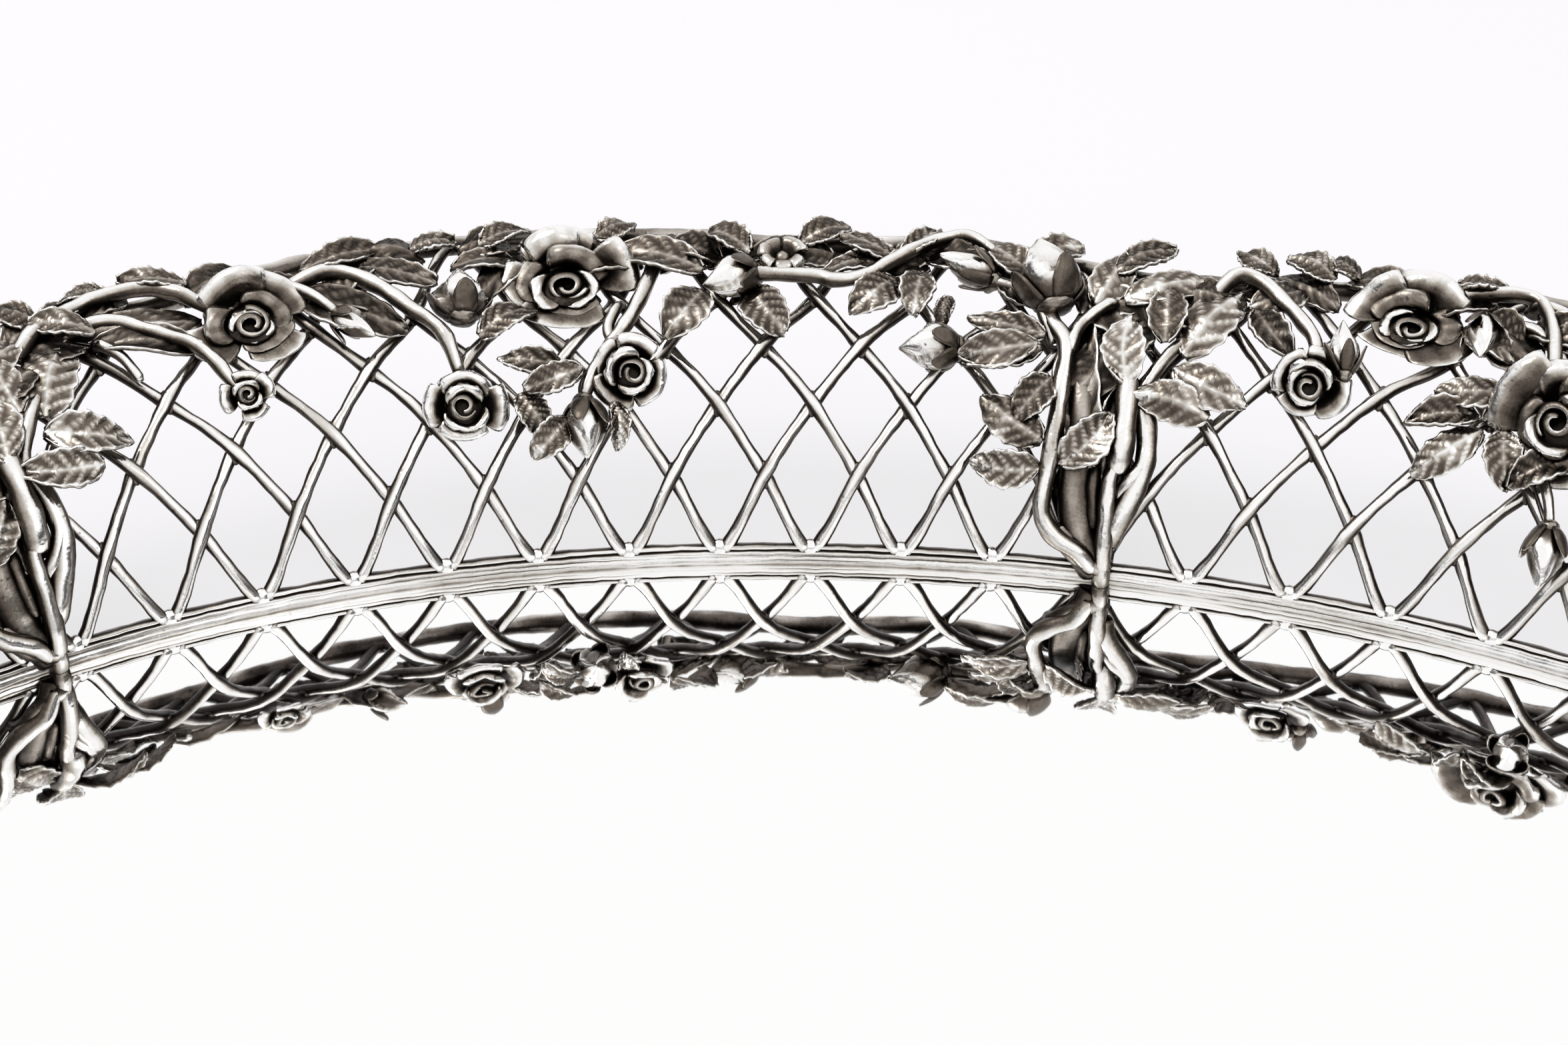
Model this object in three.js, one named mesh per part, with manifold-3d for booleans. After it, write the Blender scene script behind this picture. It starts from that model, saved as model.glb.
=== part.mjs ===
// An oval silver serving tray: a polished floor inside a flared gallery of woven wires,
// cast in lengths that are soldered end to end, with applied roses, buds, leaves and stems.
// Millimetres, +Z up, origin under the middle of the floor.
import * as THREE from "three";
import { mergeVertices } from "three/addons/utils/BufferGeometryUtils.js";
import Module from "manifold-3d";

const wasm = await Module();
wasm.setup();

// The oval and its floor
const footLength = 369; // long axis inside the foot band
const footWidth = 274; // short axis inside the foot band
const plateThickness = 2;
const plateRim = 3.6; // how far the floor reaches out past the inside of the foot band
const plateBevel = 0.5;
const floorRaise = 0.3; // how far the floor stands above the ledge that carries the foot bands
const floorEdge = 1.2; // from the edge of the raised floor to the inside of the foot band

// The wall's profile, a quarter ellipse that leans outwards
const wallHeight = 39; // floor to the crest of the bell
const wallFlare = 44; // how far the bell curls outwards
const wallLean = 0.1; // outward lean, per unit of height
const wallFoot = 0.7; // from the inside of the foot band to the middle of the wires

// The castings of the gallery
const sectionCount = 6;
const sectionGap = 0.3; // between one length and the post that starts the next
const firstJoint = 9.5; // from the middle of a long side to the nearest joint
const bandHeight = 3.1;
const bandThickness = 2.4;
const wireWidth = 2.2;
const wireBack = 0.8; // the wires' flat backs, behind the middle of the wall
const overRidge = 1.5; // a wire's ridge where it passes over another
const underRidge = 0.4; // a wire's ridge where it passes under, and where it ends
const footSpread = 1.3; // half the space between two wires where they meet in a V
const postWidth = 1.5;
const postRelief = 0.1; // how far a post stands proud of the wires that end in it
const branchWidth = 3.6; // the stem that is the rim
const footAngle = 2.5; // on the bell, where the wires start inside the foot band
const crossingAngles = [21.2, 37.2, 50.7, 63.1]; // on the bell, where the wires cross

// The applied flowers
const seatGap = 0.3; // between a flower and the wires under it
const grandRose = 9.2;
const largeRose = 8.3;
const middleRose = 6;
const smallRose = 3.8;
const roseHeight = 0.85; // a rose's height for each unit of its radius
const roseFaces = 7;
const roseSeat = 0.7; // the radius of a rose's calyx, for each unit of the rose's own
const stemWidth = 2.4;
const stemHeight = 1.7;
const leafLength = 11;
const leafWidth = 6.5;
const leafThickness = 1.1;
const budLength = 10;
const budRadius = 3.3;

const straightWithin = 0.02; // edges this close to flat are merged away

const polished = new THREE.MeshStandardMaterial({ color: 0xf4f2ef, roughness: 0.03, metalness: 1 });
const castSilver = new THREE.MeshStandardMaterial({ color: 0xb9b3aa, roughness: 0.25, metalness: 1 });
const darkSilver = new THREE.MeshStandardMaterial({ color: 0x8f877c, roughness: 0.35, metalness: 1 });

const oval = new THREE.EllipseCurve(
  0, 0, footLength / 2, footWidth / 2, Math.PI / 2, Math.PI / 2 - 2 * Math.PI, true,
);
oval.arcLengthDivisions = 2000;
const ovalLength = oval.getLength();
const sectionLength = ovalLength / sectionCount;
const seatLift = overRidge + seatGap;

// A frame on the wall: s runs clockwise along the foot from the middle of the far side,
// angle climbs the bell, and lift stands off the wires towards the inside of the tray.
function wallFrame(s, angle, lift = 0) {
  const share = THREE.MathUtils.euclideanModulo(s / ovalLength, 1);
  const foot = oval.getPointAt(share);
  const along = oval.getTangentAt(share);
  const theta = THREE.MathUtils.degToRad(angle);
  const height = wallHeight * Math.sin(theta);
  const reach = wallFoot + wallLean * height + wallFlare * (1 - Math.cos(theta));
  const rise = wallHeight * Math.cos(theta);
  const run = wallLean * rise + wallFlare * Math.sin(theta);
  const east = new THREE.Vector3(along.x, along.y, 0);
  const out = new THREE.Vector3(-along.y, along.x, 0);
  const up = out.clone().multiplyScalar(run).setZ(rise).normalize();
  const normal = new THREE.Vector3().crossVectors(east, up);
  const point = new THREE.Vector3(foot.x, foot.y, plateThickness + height);
  point.addScaledVector(out, reach).addScaledVector(normal, lift);
  return { point, east, up, normal };
}

// A closed solid from points and triangles
function solidFrom(points, faces) {
  const geometry = new THREE.BufferGeometry().setFromPoints(points);
  geometry.setIndex(faces.flat());
  return solidOf(geometry);
}

function solidOf(geometry) {
  const bare = geometry.clone();
  bare.deleteAttribute("normal");
  bare.deleteAttribute("uv");
  const merged = mergeVertices(bare, 1e-4);
  const mesh = new wasm.Mesh({
    numProp: 3,
    vertProperties: merged.attributes.position.array,
    triVerts: new Uint32Array(merged.index.array),
  });
  return new wasm.Manifold(mesh);
}

// A solid through rings that have the same number of points, closed by a fan at each end
function loft(rings) {
  const sides = rings[0].length;
  const faces = [];
  for (let k = 1; k < rings.length; k++) {
    for (let i = 0; i < sides; i++) {
      const j = (i + 1) % sides;
      const low = (k - 1) * sides;
      const high = k * sides;
      faces.push([low + i, low + j, high + j], [low + i, high + j, high + i]);
    }
  }
  const last = (rings.length - 1) * sides;
  for (let i = 1; i < sides - 1; i++) faces.push([0, i + 1, i], [last, last + i, last + i + 1]);
  return solidFrom(rings.flat(), faces);
}

// A rod on the wall: stations of [s, angle, lift], and a section of [across, off the wall] points
function rod(stations, section) {
  const frames = stations.map(([s, angle, lift]) => wallFrame(s, angle, lift));
  const rings = frames.map((frame, k) => {
    const before = frames[Math.max(k - 1, 0)].point;
    const after = frames[Math.min(k + 1, frames.length - 1)].point;
    const heading = after.clone().sub(before).normalize();
    const across = new THREE.Vector3().crossVectors(frame.normal, heading).normalize();
    const off = new THREE.Vector3().crossVectors(heading, across);
    return section.map(([a, b]) =>
      frame.point.clone().addScaledVector(across, a).addScaledVector(off, b));
  });
  return loft(rings);
}

// A round section of flat sides, with one of them at its start
function roundSection(radius, sides) {
  return Array.from({ length: sides }, (_, i) => {
    const turn = Math.PI + (2 * Math.PI * (i + 0.5)) / sides;
    return [radius * Math.cos(turn), radius * Math.sin(turn)];
  });
}

function part(name, solid, material) {
  const { numProp, vertProperties, triVerts } = solid.simplify(straightWithin).getMesh();
  const positions = [];
  for (let i = 0; i < vertProperties.length; i += numProp) {
    positions.push(...vertProperties.slice(i, i + 3));
  }
  const geometry = new THREE.BufferGeometry();
  geometry.setAttribute("position", new THREE.Float32BufferAttribute(positions, 3));
  geometry.setIndex(Array.from(triVerts));
  const mesh = new THREE.Mesh(geometry, material.clone());
  mesh.name = name;
  return mesh;
}

// The three layouts of the castings, used twice each round the oval.
// feet: how many spaces between V-shaped feet the length holds, and the share of one before the first.
// rim: heights of the rim branch on the bell, evenly spaced from joint to joint.
// Places are in feet along the wall, counted from the first, and in degrees up the bell.
// A bud or a leaf grows from its stem, so many stations along it, and turns that far from clockwise.
const layouts = [
  {
    feet: { pitches: 11.45, lead: 0.25 },
    rim: [74, 76, 84, 88, 86, 79, 83, 73],
    roses: [
      { name: "large_rose", radius: largeRose, at: 2.44, angle: 65.4 },
      { name: "small_rose", radius: smallRose, at: 2.23, angle: 47 },
      { name: "left_rose", radius: middleRose, at: 4.36, angle: 38.2 },
      { name: "grand_rose", radius: grandRose, at: 5.51, angle: 67.3 },
      { name: "right_rose", radius: middleRose, at: 6.1, angle: 42.6 },
    ],
    budSpray: {
      stems: [[[9.95, 56], [9.8, 50], [9.3, 48.8]]],
      buds: [{ from: 1.9, turn: 180 }],
      leaves: [{ from: 1, turn: -20 }],
    },
    rimSpray: {
      stems: [[[7.2, 66], [7.7, 64.5], [8.24, 62], [8.6, 65.7], [9.0, 72]]],
      buds: [{ from: 0.1, turn: 200 }],
      leaves: [{ from: 1.8, turn: -35 }, { from: 3.1, turn: 130 }, { from: 0.6, turn: 110 }],
    },
  },
  {
    feet: { pitches: 10.55, lead: 0.87 },
    rim: [73, 77, 85, 89, 84, 80, 84, 74],
    roses: [
      { name: "left_rose", radius: middleRose, at: 0.85, angle: 48.7 },
      { name: "grand_rose", radius: largeRose, at: 1.6, angle: 69.5 },
      { name: "large_rose", radius: largeRose, at: 3.14, angle: 49 },
      { name: "right_rose", radius: middleRose, at: 5.1, angle: 66 },
      { name: "small_rose", radius: smallRose, at: 5.9, angle: 45 },
    ],
    budSpray: {
      stems: [[[3, 64], [2.7, 71], [2.4, 72], [2.22, 68]]],
      buds: [{ from: 2.9, turn: -92 }],
      leaves: [{ from: 0.6, turn: 20 }],
    },
    rimSpray: {
      stems: [[[6.6, 66], [7.1, 64], [7.6, 66], [8.0, 71]]],
      buds: [{ from: 0.1, turn: 200 }],
      leaves: [{ from: 1, turn: -60 }, { from: 2, turn: 120 }, { from: 0.5, turn: 110 }],
    },
  },
  {
    feet: { pitches: 11.45, lead: 1.2 },
    rim: [73, 83, 79, 86, 88, 84, 76, 74],
    roses: [
      { name: "large_rose", radius: largeRose, at: 7.56, angle: 65.4 },
      { name: "small_rose", radius: smallRose, at: 7.77, angle: 47 },
      { name: "left_rose", radius: middleRose, at: 5.64, angle: 38.2 },
      { name: "grand_rose", radius: grandRose, at: 4.4, angle: 67.3 },
      { name: "right_rose", radius: middleRose, at: 3.9, angle: 42.6 },
    ],
    budSpray: {
      stems: [[[0.5, 56], [0.6, 50], [1.1, 48.8]]],
      buds: [{ from: 1.9, turn: 0 }],
      leaves: [{ from: 1, turn: 200 }],
    },
    rimSpray: {
      stems: [[[2.8, 66], [2.3, 64.5], [1.76, 62], [1.4, 65.7], [1.0, 72]]],
      buds: [{ from: 0.1, turn: -20 }],
      leaves: [{ from: 1.8, turn: 215 }, { from: 3.1, turn: 50 }, { from: 0.6, turn: 70 }],
    },
  },
];

// One leafy stem over a joint. Places are in the mean space between feet, counted from the joint,
// and in degrees up the bell.
const trunkPitches = 11.15; // mean spaces between feet in a length
const trunk = {
  stems: [
    [[-0.09, 5], [-0.38, 9.5], [-0.61, 17], [-0.59, 33.7], [-0.58, 52.8], [-0.79, 62]],
    [[-0.01, 5], [0.02, 22.8], [0.07, 41.8], [0.36, 48.9], [0.59, 56]],
    [[-0.58, 50], [-0.22, 59]],
  ],
  buds: [{ from: 4.9, turn: 100 }],
  leaves: [
    { from: 2.9, turn: 165 },
    { from: 2.3, turn: 195 },
    { from: 2.5, turn: 30 },
    { stem: 1, from: 1.9, turn: 96 },
    { stem: 1, from: 3.9, turn: 45 },
    { stem: 1, from: 3.2, turn: -25 },
    { stem: 2, from: 0.9, turn: 75 },
  ],
};

// The floor: a plate with a ledge round it that the foot bands stand on
function basePlate() {
  const profile = [
    [plateRim - plateBevel, 0],
    [plateRim, plateBevel],
    [plateRim, plateThickness - floorRaise - plateBevel],
    [plateRim - plateBevel, plateThickness - floorRaise],
    [floorRaise - floorEdge, plateThickness - floorRaise],
    [-floorEdge, plateThickness],
  ];
  const sides = 60;
  const rings = profile.map(([out, z]) => {
    const across = footLength / 2 + out;
    const deep = footWidth / 2 + out;
    return Array.from({ length: sides }, (_, i) => {
      const turn = (2 * Math.PI * i) / sides;
      return new THREE.Vector3(across * Math.cos(turn), deep * Math.sin(turn), z);
    });
  });
  return part("base_plate", loft(rings), polished);
}

// The foot band of one length: it stands on the floor, and its inside is upright enough to see
function footBand(start, end) {
  const steps = 10;
  const rings = Array.from({ length: steps + 1 }, (_, k) => {
    const s = start + ((end - start) * k) / steps;
    const { point, east } = wallFrame(s, 0);
    const out = new THREE.Vector3(-east.y, east.x, 0);
    const inside = -wallFoot;
    const lean = wallLean * bandHeight;
    return [[inside, -floorRaise], [inside + bandThickness, -floorRaise],
      [inside + bandThickness + lean, bandHeight], [inside + lean, bandHeight]].map(([d, h]) =>
      point.clone().addScaledVector(out, d).setZ(plateThickness + h));
  });
  return loft(rings);
}

function rimCurve(layout, start, end) {
  const last = layout.rim.length - 1;
  const points = layout.rim.map((angle, k) =>
    new THREE.Vector2(start + ((end - start) * k) / last, angle));
  return new THREE.SplineCurve(points);
}

function rimAngle(layout, start, end, s) {
  const share = THREE.MathUtils.clamp((s - start) / (end - start), 0, 1);
  return rimCurve(layout, start, end).getPoint(share).y;
}

// The woven wires of one length, as one mesh. Wire k leans right or left from foot k, and a crossing
// is named by its level and by the foot of its right-leaning wire. Right-leaning wires pass over
// at odd levels, the others at even ones. Backs are flat and flush, and only the ridges weave.
function weave(layout, start, end) {
  const pitch = sectionLength / layout.feet.pitches;
  const low = start + postWidth / 2;
  const high = end;
  const topLevel = crossingAngles.length + 1;
  const points = [];
  const faces = [];
  const ridges = [];
  const add = (point) => points.push(point) - 1;

  // Where a wire is at a level: on its foot, at a crossing, or at the rim
  const station = (lean, k, level) => {
    const spread = level === 0 ? footSpread : level === topLevel ? -footSpread : 0;
    const s = placeOf(layout, start, k) + lean * ((level * pitch) / 2 + spread);
    if (level === 0) return [s, footAngle];
    return [s, level === topLevel ? rimAngle(layout, start, end, s) : crossingAngles[level - 1]];
  };
  const heading = (lean, k, level, normal) => {
    const before = wallFrame(...station(lean, k, level - 1)).point;
    const after = wallFrame(...station(lean, k, level + 1)).point;
    return after.sub(before).projectOnPlane(normal).normalize();
  };

  // A crossing: four corners on the back, one ridge point of the wire on top,
  // and the two points where the ridge of the wire below runs into it
  const crossings = new Map();
  const crossing = (level, k) => {
    const key = `${level}/${k}`;
    if (crossings.has(key)) return crossings.get(key);
    const [s, angle] = station(1, k, level);
    const inside = s > low && s < high - wireWidth;
    crossings.set(key, inside ? makeCrossing(level, k, s, angle) : null);
    return crossings.get(key);
  };
  const makeCrossing = (level, k, s, angle) => {
    const { point, normal } = wallFrame(s, angle);
    const right = heading(1, k, level, normal);
    const left = heading(-1, k + level, level, normal);
    const spread = wireWidth / 2 / right.clone().cross(left).length();
    const at = (a, b, lift) => add(point.clone()
      .addScaledVector(right, a * spread).addScaledVector(left, b * spread).addScaledVector(normal, lift));
    const east = at(1, -1, -wireBack);
    const north = at(1, 1, -wireBack);
    const west = at(-1, 1, -wireBack);
    const south = at(-1, -1, -wireBack);
    const ridge = at(0, 0, overRidge);
    const near = (overRidge - underRidge) / (overRidge + wireBack);
    faces.push([east, south, west], [east, west, north]);
    if (level % 2 === 1) {
      const above = at(0, near, underRidge);
      const below = at(0, -near, underRidge);
      faces.push([west, ridge, above], [ridge, north, above], [south, below, ridge], [below, east, ridge]);
      return { east, north, west, south, right: [ridge, ridge], left: [below, above] };
    }
    const above = at(near, 0, underRidge);
    const below = at(-near, 0, underRidge);
    faces.push([ridge, east, above], [ridge, above, north], [west, below, ridge], [below, south, ridge]);
    return { east, north, west, south, right: [below, above], left: [ridge, ridge] };
  };

  // The three corners of a wire's section where it meets a crossing, or null past the ends
  const port = (lean, k, level, leaving) => {
    if (level === 0 || level === topLevel) return null;
    const hub = crossing(level, lean === 1 ? k : k - level);
    if (!hub) return null;
    const ridge = (lean === 1 ? hub.right : hub.left)[leaving ? 1 : 0];
    if (lean === 1) return leaving ? [hub.north, hub.east, ridge] : [hub.west, hub.south, ridge];
    return leaving ? [hub.west, hub.north, ridge] : [hub.south, hub.east, ridge];
  };
  // A wire's end is square, or flush with the end of the length where the joint cuts it
  const endRing = ([s, angle], ahead) => {
    const { point, east, normal } = wallFrame(s, angle);
    const side = new THREE.Vector3().crossVectors(normal, ahead).normalize();
    if (s === high) side.addScaledVector(ahead, -side.dot(east) / ahead.dot(east));
    return [[wireWidth / 2, -wireBack], [-wireWidth / 2, -wireBack], [0, underRidge]].map(([a, b]) =>
      add(point.clone().addScaledVector(side, a).addScaledVector(normal, b)));
  };

  for (const lean of [1, -1]) {
    for (let k = -topLevel; k < layout.feet.pitches + topLevel; k++) {
      for (let level = 0; level < topLevel; level++) {
        const from = station(lean, k, level);
        const to = station(lean, k, level + 1);
        const [begin, finish] = cutToLength(from, to, low, high);
        if (Math.abs(finish[0] - begin[0]) < wireWidth / 2) continue;
        const ahead = wallFrame(...finish).point.sub(wallFrame(...begin).point);
        const lower = port(lean, k, level, true);
        const upper = port(lean, k, level + 1, false);
        const [l0, r0, g0] = lower || endRing(begin, ahead);
        const [l1, r1, g1] = upper || endRing(finish, ahead);
        ridges.push([points[g0], points[g1]]);
        faces.push([l0, g0, g1], [l0, g1, l1], [g0, r0, r1], [g0, r1, g1], [r0, l0, l1], [r0, l1, r1]);
        if (!lower) faces.push([l0, r0, g0]);
        if (!upper) faces.push([l1, g1, r1]);
      }
    }
  }
  return { wires: solidFrom(points, faces), ridges };
}

// The part of a wire's stretch that lies between its own post and the end of the length
function cutToLength(from, to, low, high) {
  const at = (s) => from.map((value, i) => value + ((to[i] - value) * (s - from[0])) / (to[0] - from[0]));
  return [from, to].map((end) => (end[0] < low ? at(low) : end[0] > high ? at(high) : end));
}

function endPost(layout, start, end) {
  const s = start + postWidth / 2;
  const top = rimAngle(layout, start, end, s);
  const stations = [footAngle, ...crossingAngles, top].map((angle) => [s, angle, 0]);
  const half = postWidth / 2;
  const back = wireBack + postRelief;
  const front = overRidge + postRelief;
  return rod(stations, [[-half, -back], [half, -back], [half, front], [-half, front]]);
}

// The rim of one length, with square ends: a flat side takes the wires
function rimBranch(layout, start, end) {
  const curve = rimCurve(layout, start, end);
  const steps = 10;
  const half = branchWidth / 2;
  const flat = half * 0.8;
  const crown = half * 0.3;
  const section = [[-flat, -flat], [crown, -half], [half, 0], [crown, half], [-flat, flat]];
  const rings = Array.from({ length: steps + 1 }, (_, k) => {
    const { x, y } = curve.getPoint(k / steps);
    const { point, up, normal } = wallFrame(x, y);
    return section.map(([a, b]) => point.clone().addScaledVector(up, a).addScaledVector(normal, b));
  });
  return loft(rings);
}

function gallerySection(layout, number, start) {
  const low = start + sectionGap / 2;
  const high = start + sectionLength - sectionGap / 2;
  const { wires, ridges } = weave(layout, low, high);
  const solids = [footBand(low, high), rimBranch(layout, low, high), endPost(layout, low, high), wires];
  return { ridges, casting: part(`gallery_section_${number}`, wasm.Manifold.union(solids), castSilver) };
}

// A frame turned on the wall: x points along the turn, z off the wall
function turned(s, angle, lift, turn) {
  const { point, east, up, normal } = wallFrame(s, angle, lift);
  const theta = THREE.MathUtils.degToRad(turn);
  const ahead = east.clone().multiplyScalar(Math.cos(theta)).addScaledVector(up, Math.sin(theta));
  const side = new THREE.Vector3().crossVectors(normal, ahead);
  return new THREE.Matrix4().makeBasis(ahead, side, normal).setPosition(point);
}

// A rose: a flat calyx, a skirt of outer petals, and an inner cup round a hollow heart
function rose(radius, place) {
  const height = radius * roseHeight;
  const profile = [
    [roseSeat, 0, 0.1], [1, 0.5, 0.08], [0.74, 0.62, 0.05], [0.56, 1, 0.07], [0.34, 0.86, 0],
  ];
  const points = [new THREE.Vector3(0, 0, 0)];
  profile.forEach(([wide, high, lobe], ring) => {
    for (let i = 0; i < roseFaces; i++) {
      const turn = (2 * Math.PI * (i + ring * 0.5)) / roseFaces;
      const reach = radius * wide * (1 + (i % 2 === 0 ? lobe : -lobe));
      points.push(new THREE.Vector3(reach * Math.cos(turn), reach * Math.sin(turn), height * high));
    }
  });
  points.push(new THREE.Vector3(0, 0, height * 0.6));
  const faces = [];
  for (let i = 0; i < roseFaces; i++) {
    const j = (i + 1) % roseFaces;
    faces.push([0, 1 + j, 1 + i]);
    for (let ring = 1; ring < profile.length; ring++) {
      const low = 1 + (ring - 1) * roseFaces;
      const high = 1 + ring * roseFaces;
      faces.push([low + i, low + j, high + i], [low + j, high + j, high + i]);
    }
    const top = 1 + (profile.length - 1) * roseFaces;
    faces.push([points.length - 1, top + i, top + j]);
  }
  return solidFrom(points.map((point) => point.applyMatrix4(place)), faces);
}

// A leaf along x, folded a little along its midrib and pointed at both ends
function leaf(place) {
  const half = leafWidth / 2;
  const thick = leafThickness;
  const outline = [
    [0, 0], [0.34, -half], [0.74, -half * 0.72], [1, 0], [0.74, half * 0.72], [0.34, half],
  ].map(([x, y]) => new THREE.Vector3(x * leafLength, y, thick + 0.12 * Math.abs(y)));
  const rib = [thick, 0].map((z) => new THREE.Vector3(0.5 * leafLength, 0, z));
  const points = [...outline, ...rib].map((point) => point.applyMatrix4(place));
  const faces = outline.flatMap((_, i) => [[i, (i + 1) % 6, 6], [(i + 1) % 6, i, 7]]);
  return solidFrom(points, faces);
}

// A bud along x, lying on its belly: calyx, swelling and closed tip
function bud(place) {
  const profile = [[0, 0.28], [0.12, 0.6], [0.45, 1], [0.8, 0.72]];
  const rings = profile.map(([x, wide]) =>
    roundSection(budRadius * wide, 6).map(([y, z]) =>
      new THREE.Vector3(x * budLength, y, budRadius * wide + z).applyMatrix4(place)));
  const tip = new THREE.Vector3(budLength, 0, budRadius * 0.7).applyMatrix4(place);
  const points = [...rings.flat(), tip];
  const faces = [];
  for (let i = 0; i < 6; i++) {
    const j = (i + 1) % 6;
    for (let ring = 1; ring < rings.length; ring++) {
      const low = (ring - 1) * 6;
      faces.push([low + i, low + j, low + 6 + j], [low + i, low + 6 + j, low + 6 + i]);
    }
    faces.push([18 + i, 18 + j, 24]);
    if (i > 0 && i < 5) faces.push([0, j, i]);
  }
  return solidFrom(points, faces);
}

// A stem over the wires. Its straight stretches cut across the curve of the bell,
// so each station stands off by the height of the arc that the longer stretch beside it cuts.
function stem(route) {
  const stretch = (k) => Math.abs(route[k + 1][1] - route[k][1]);
  const stations = route.map(([s, angle], k) => {
    const longest = Math.max(k > 0 ? stretch(k - 1) : 0, k < route.length - 1 ? stretch(k) : 0);
    const arc = wallFlare * (1 - Math.cos(THREE.MathUtils.degToRad(longest / 2)));
    return [s, angle, seatLift + arc];
  });
  const half = stemWidth / 2;
  const crown = half * 0.6;
  return rod(stations, [[-half, 0], [half, 0], [crown, stemHeight], [-crown, stemHeight]]);
}

function placeOf(layout, start, at) {
  return start + ((layout.feet.lead + at) * sectionLength) / layout.feet.pitches;
}

// How high the wires stand under a disc on the wall: the highest of their ridges that it covers
function wiresUnder(ridges, place, radius) {
  const toDisc = place.clone().invert();
  const shares = [0, 0.2, 0.4, 0.6, 0.8, 1];
  const heights = ridges.flatMap(([from, to]) => shares
    .map((share) => from.clone().lerp(to, share).applyMatrix4(toDisc))
    .filter(({ x, y }) => Math.hypot(x, y) < radius)
    .map(({ z }) => z));
  return Math.max(...heights, underRidge);
}

function roses(layout, number, start, ridges) {
  return layout.roses.map(({ name, radius, at, angle }) => {
    const s = placeOf(layout, start, at);
    const reach = radius * roseSeat + wireWidth / 2;
    const lift = wiresUnder(ridges, turned(s, angle, 0, 90), reach) + seatGap;
    return part(`${name}_${number}`, rose(radius, turned(s, angle, lift, 90)), darkSilver);
  });
}

// Stems with the buds and leaves that grow from them
function growth(name, stems, { buds, leaves }) {
  const place = ({ stem: which = 0, from, turn }) => {
    const route = stems[which];
    const k = Math.min(Math.floor(from), route.length - 2);
    const [s, angle] = route[k].map((value, i) => value + (route[k + 1][i] - value) * (from - k));
    return turned(s, angle, seatLift, turn);
  };
  const solids = [
    ...stems.map(stem),
    ...buds.map((one) => bud(place(one))),
    ...leaves.map((one) => leaf(place(one))),
  ];
  return part(name, wasm.Manifold.union(solids), castSilver);
}

function spray(layout, start, name, plan) {
  const stems = plan.stems.map((route) => route.map(([at, angle]) => [placeOf(layout, start, at), angle]));
  return growth(name, stems, plan);
}

function trunkSpray(number, joint) {
  const pitch = sectionLength / trunkPitches;
  const stems = trunk.stems.map((route) => route.map(([at, angle]) => [joint + at * pitch, angle]));
  return growth(`trunk_spray_${number}`, stems, trunk);
}

const tray = new THREE.Group();
tray.add(basePlate());
for (let k = 0; k < sectionCount; k++) {
  const start = firstJoint + (k - 1) * sectionLength;
  const layout = layouts[k % layouts.length];
  const { casting, ridges } = gallerySection(layout, k + 1, start);
  tray.add(casting);
  tray.add(trunkSpray(k + 1, start));
  tray.add(...roses(layout, k + 1, start, ridges));
  tray.add(spray(layout, start, `bud_spray_${k + 1}`, layout.budSpray));
  tray.add(spray(layout, start, `rim_spray_${k + 1}`, layout.rimSpray));
}

export default tray;
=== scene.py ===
import math
import random

import bpy
import numpy as np
from mathutils import Matrix, Vector


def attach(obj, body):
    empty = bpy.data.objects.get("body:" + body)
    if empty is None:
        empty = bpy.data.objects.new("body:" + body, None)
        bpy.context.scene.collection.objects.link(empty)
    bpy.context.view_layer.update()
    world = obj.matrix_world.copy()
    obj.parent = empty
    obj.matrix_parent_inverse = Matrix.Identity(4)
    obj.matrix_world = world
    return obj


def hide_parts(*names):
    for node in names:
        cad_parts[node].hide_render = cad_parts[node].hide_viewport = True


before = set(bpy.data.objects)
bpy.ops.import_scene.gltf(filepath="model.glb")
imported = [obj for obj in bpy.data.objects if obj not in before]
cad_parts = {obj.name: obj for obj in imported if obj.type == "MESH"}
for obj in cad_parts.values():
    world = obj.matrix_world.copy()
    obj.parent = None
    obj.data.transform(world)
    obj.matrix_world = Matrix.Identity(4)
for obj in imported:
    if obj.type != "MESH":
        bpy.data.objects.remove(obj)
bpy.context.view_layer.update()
print("frame:", len(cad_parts), "nodes")

# Lengths are in millimetres here, and each mesh is turned into metres when it is made.

def addThing(name, data):
    thing = bpy.data.objects.new(name, data)
    bpy.context.scene.collection.objects.link(thing)
    return thing


camera = {
    "lens": 61.2, "sensor": 36, "near": 0.01,
    "place": (22.5, -231.8, 233.6), "swing": 10.0, "tilt": 58.92, "roll": 0.19,
}


def setCamera(look):
    data = bpy.data.cameras.new("camera")
    data.lens, data.sensor_width, data.clip_start = look["lens"], look["sensor"], look["near"]
    thing = addThing("camera", data)
    turn = Matrix.Identity(4)
    for angle, axis in ((look["swing"], "Z"), (look["tilt"], "X"), (look["roll"], "Z")):
        turn = turn @ Matrix.Rotation(math.radians(angle), 4, axis)
    thing.matrix_world = Matrix.Translation(Vector(look["place"]) / 1000) @ turn
    bpy.context.scene.camera = thing


setCamera(camera)

# The wall: s runs clockwise along its foot, angle climbs the bell, lift stands off it.
wall = {
    "length": 369.0, "width": 274.0,  # the oval inside the foot band
    "floor": 2.0, "height": 39.0, "flare": 44.0, "lean": 0.1, "foot": 0.7,
    "crossings": [2.5, 21.2, 37.2, 50.7, 63.1],  # where the wires start, and where they cross
    "sections": 6, "firstJoint": 9.5, "gap": 0.3,
    "steps": 8001,  # of the table from s to a turn round the oval
}

turnTable = np.linspace(-math.pi, math.pi, wall["steps"])
ovalTable = np.stack([wall["length"] / 2 * np.sin(turnTable), wall["width"] / 2 * np.cos(turnTable)], 1)
arcTable = np.concatenate([[0], np.cumsum(np.linalg.norm(np.diff(ovalTable, axis=0), axis=1))])
ovalLength = arcTable[-1]
sectionLength = ovalLength / wall["sections"]
sections = range(1, wall["sections"] + 1)


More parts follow.
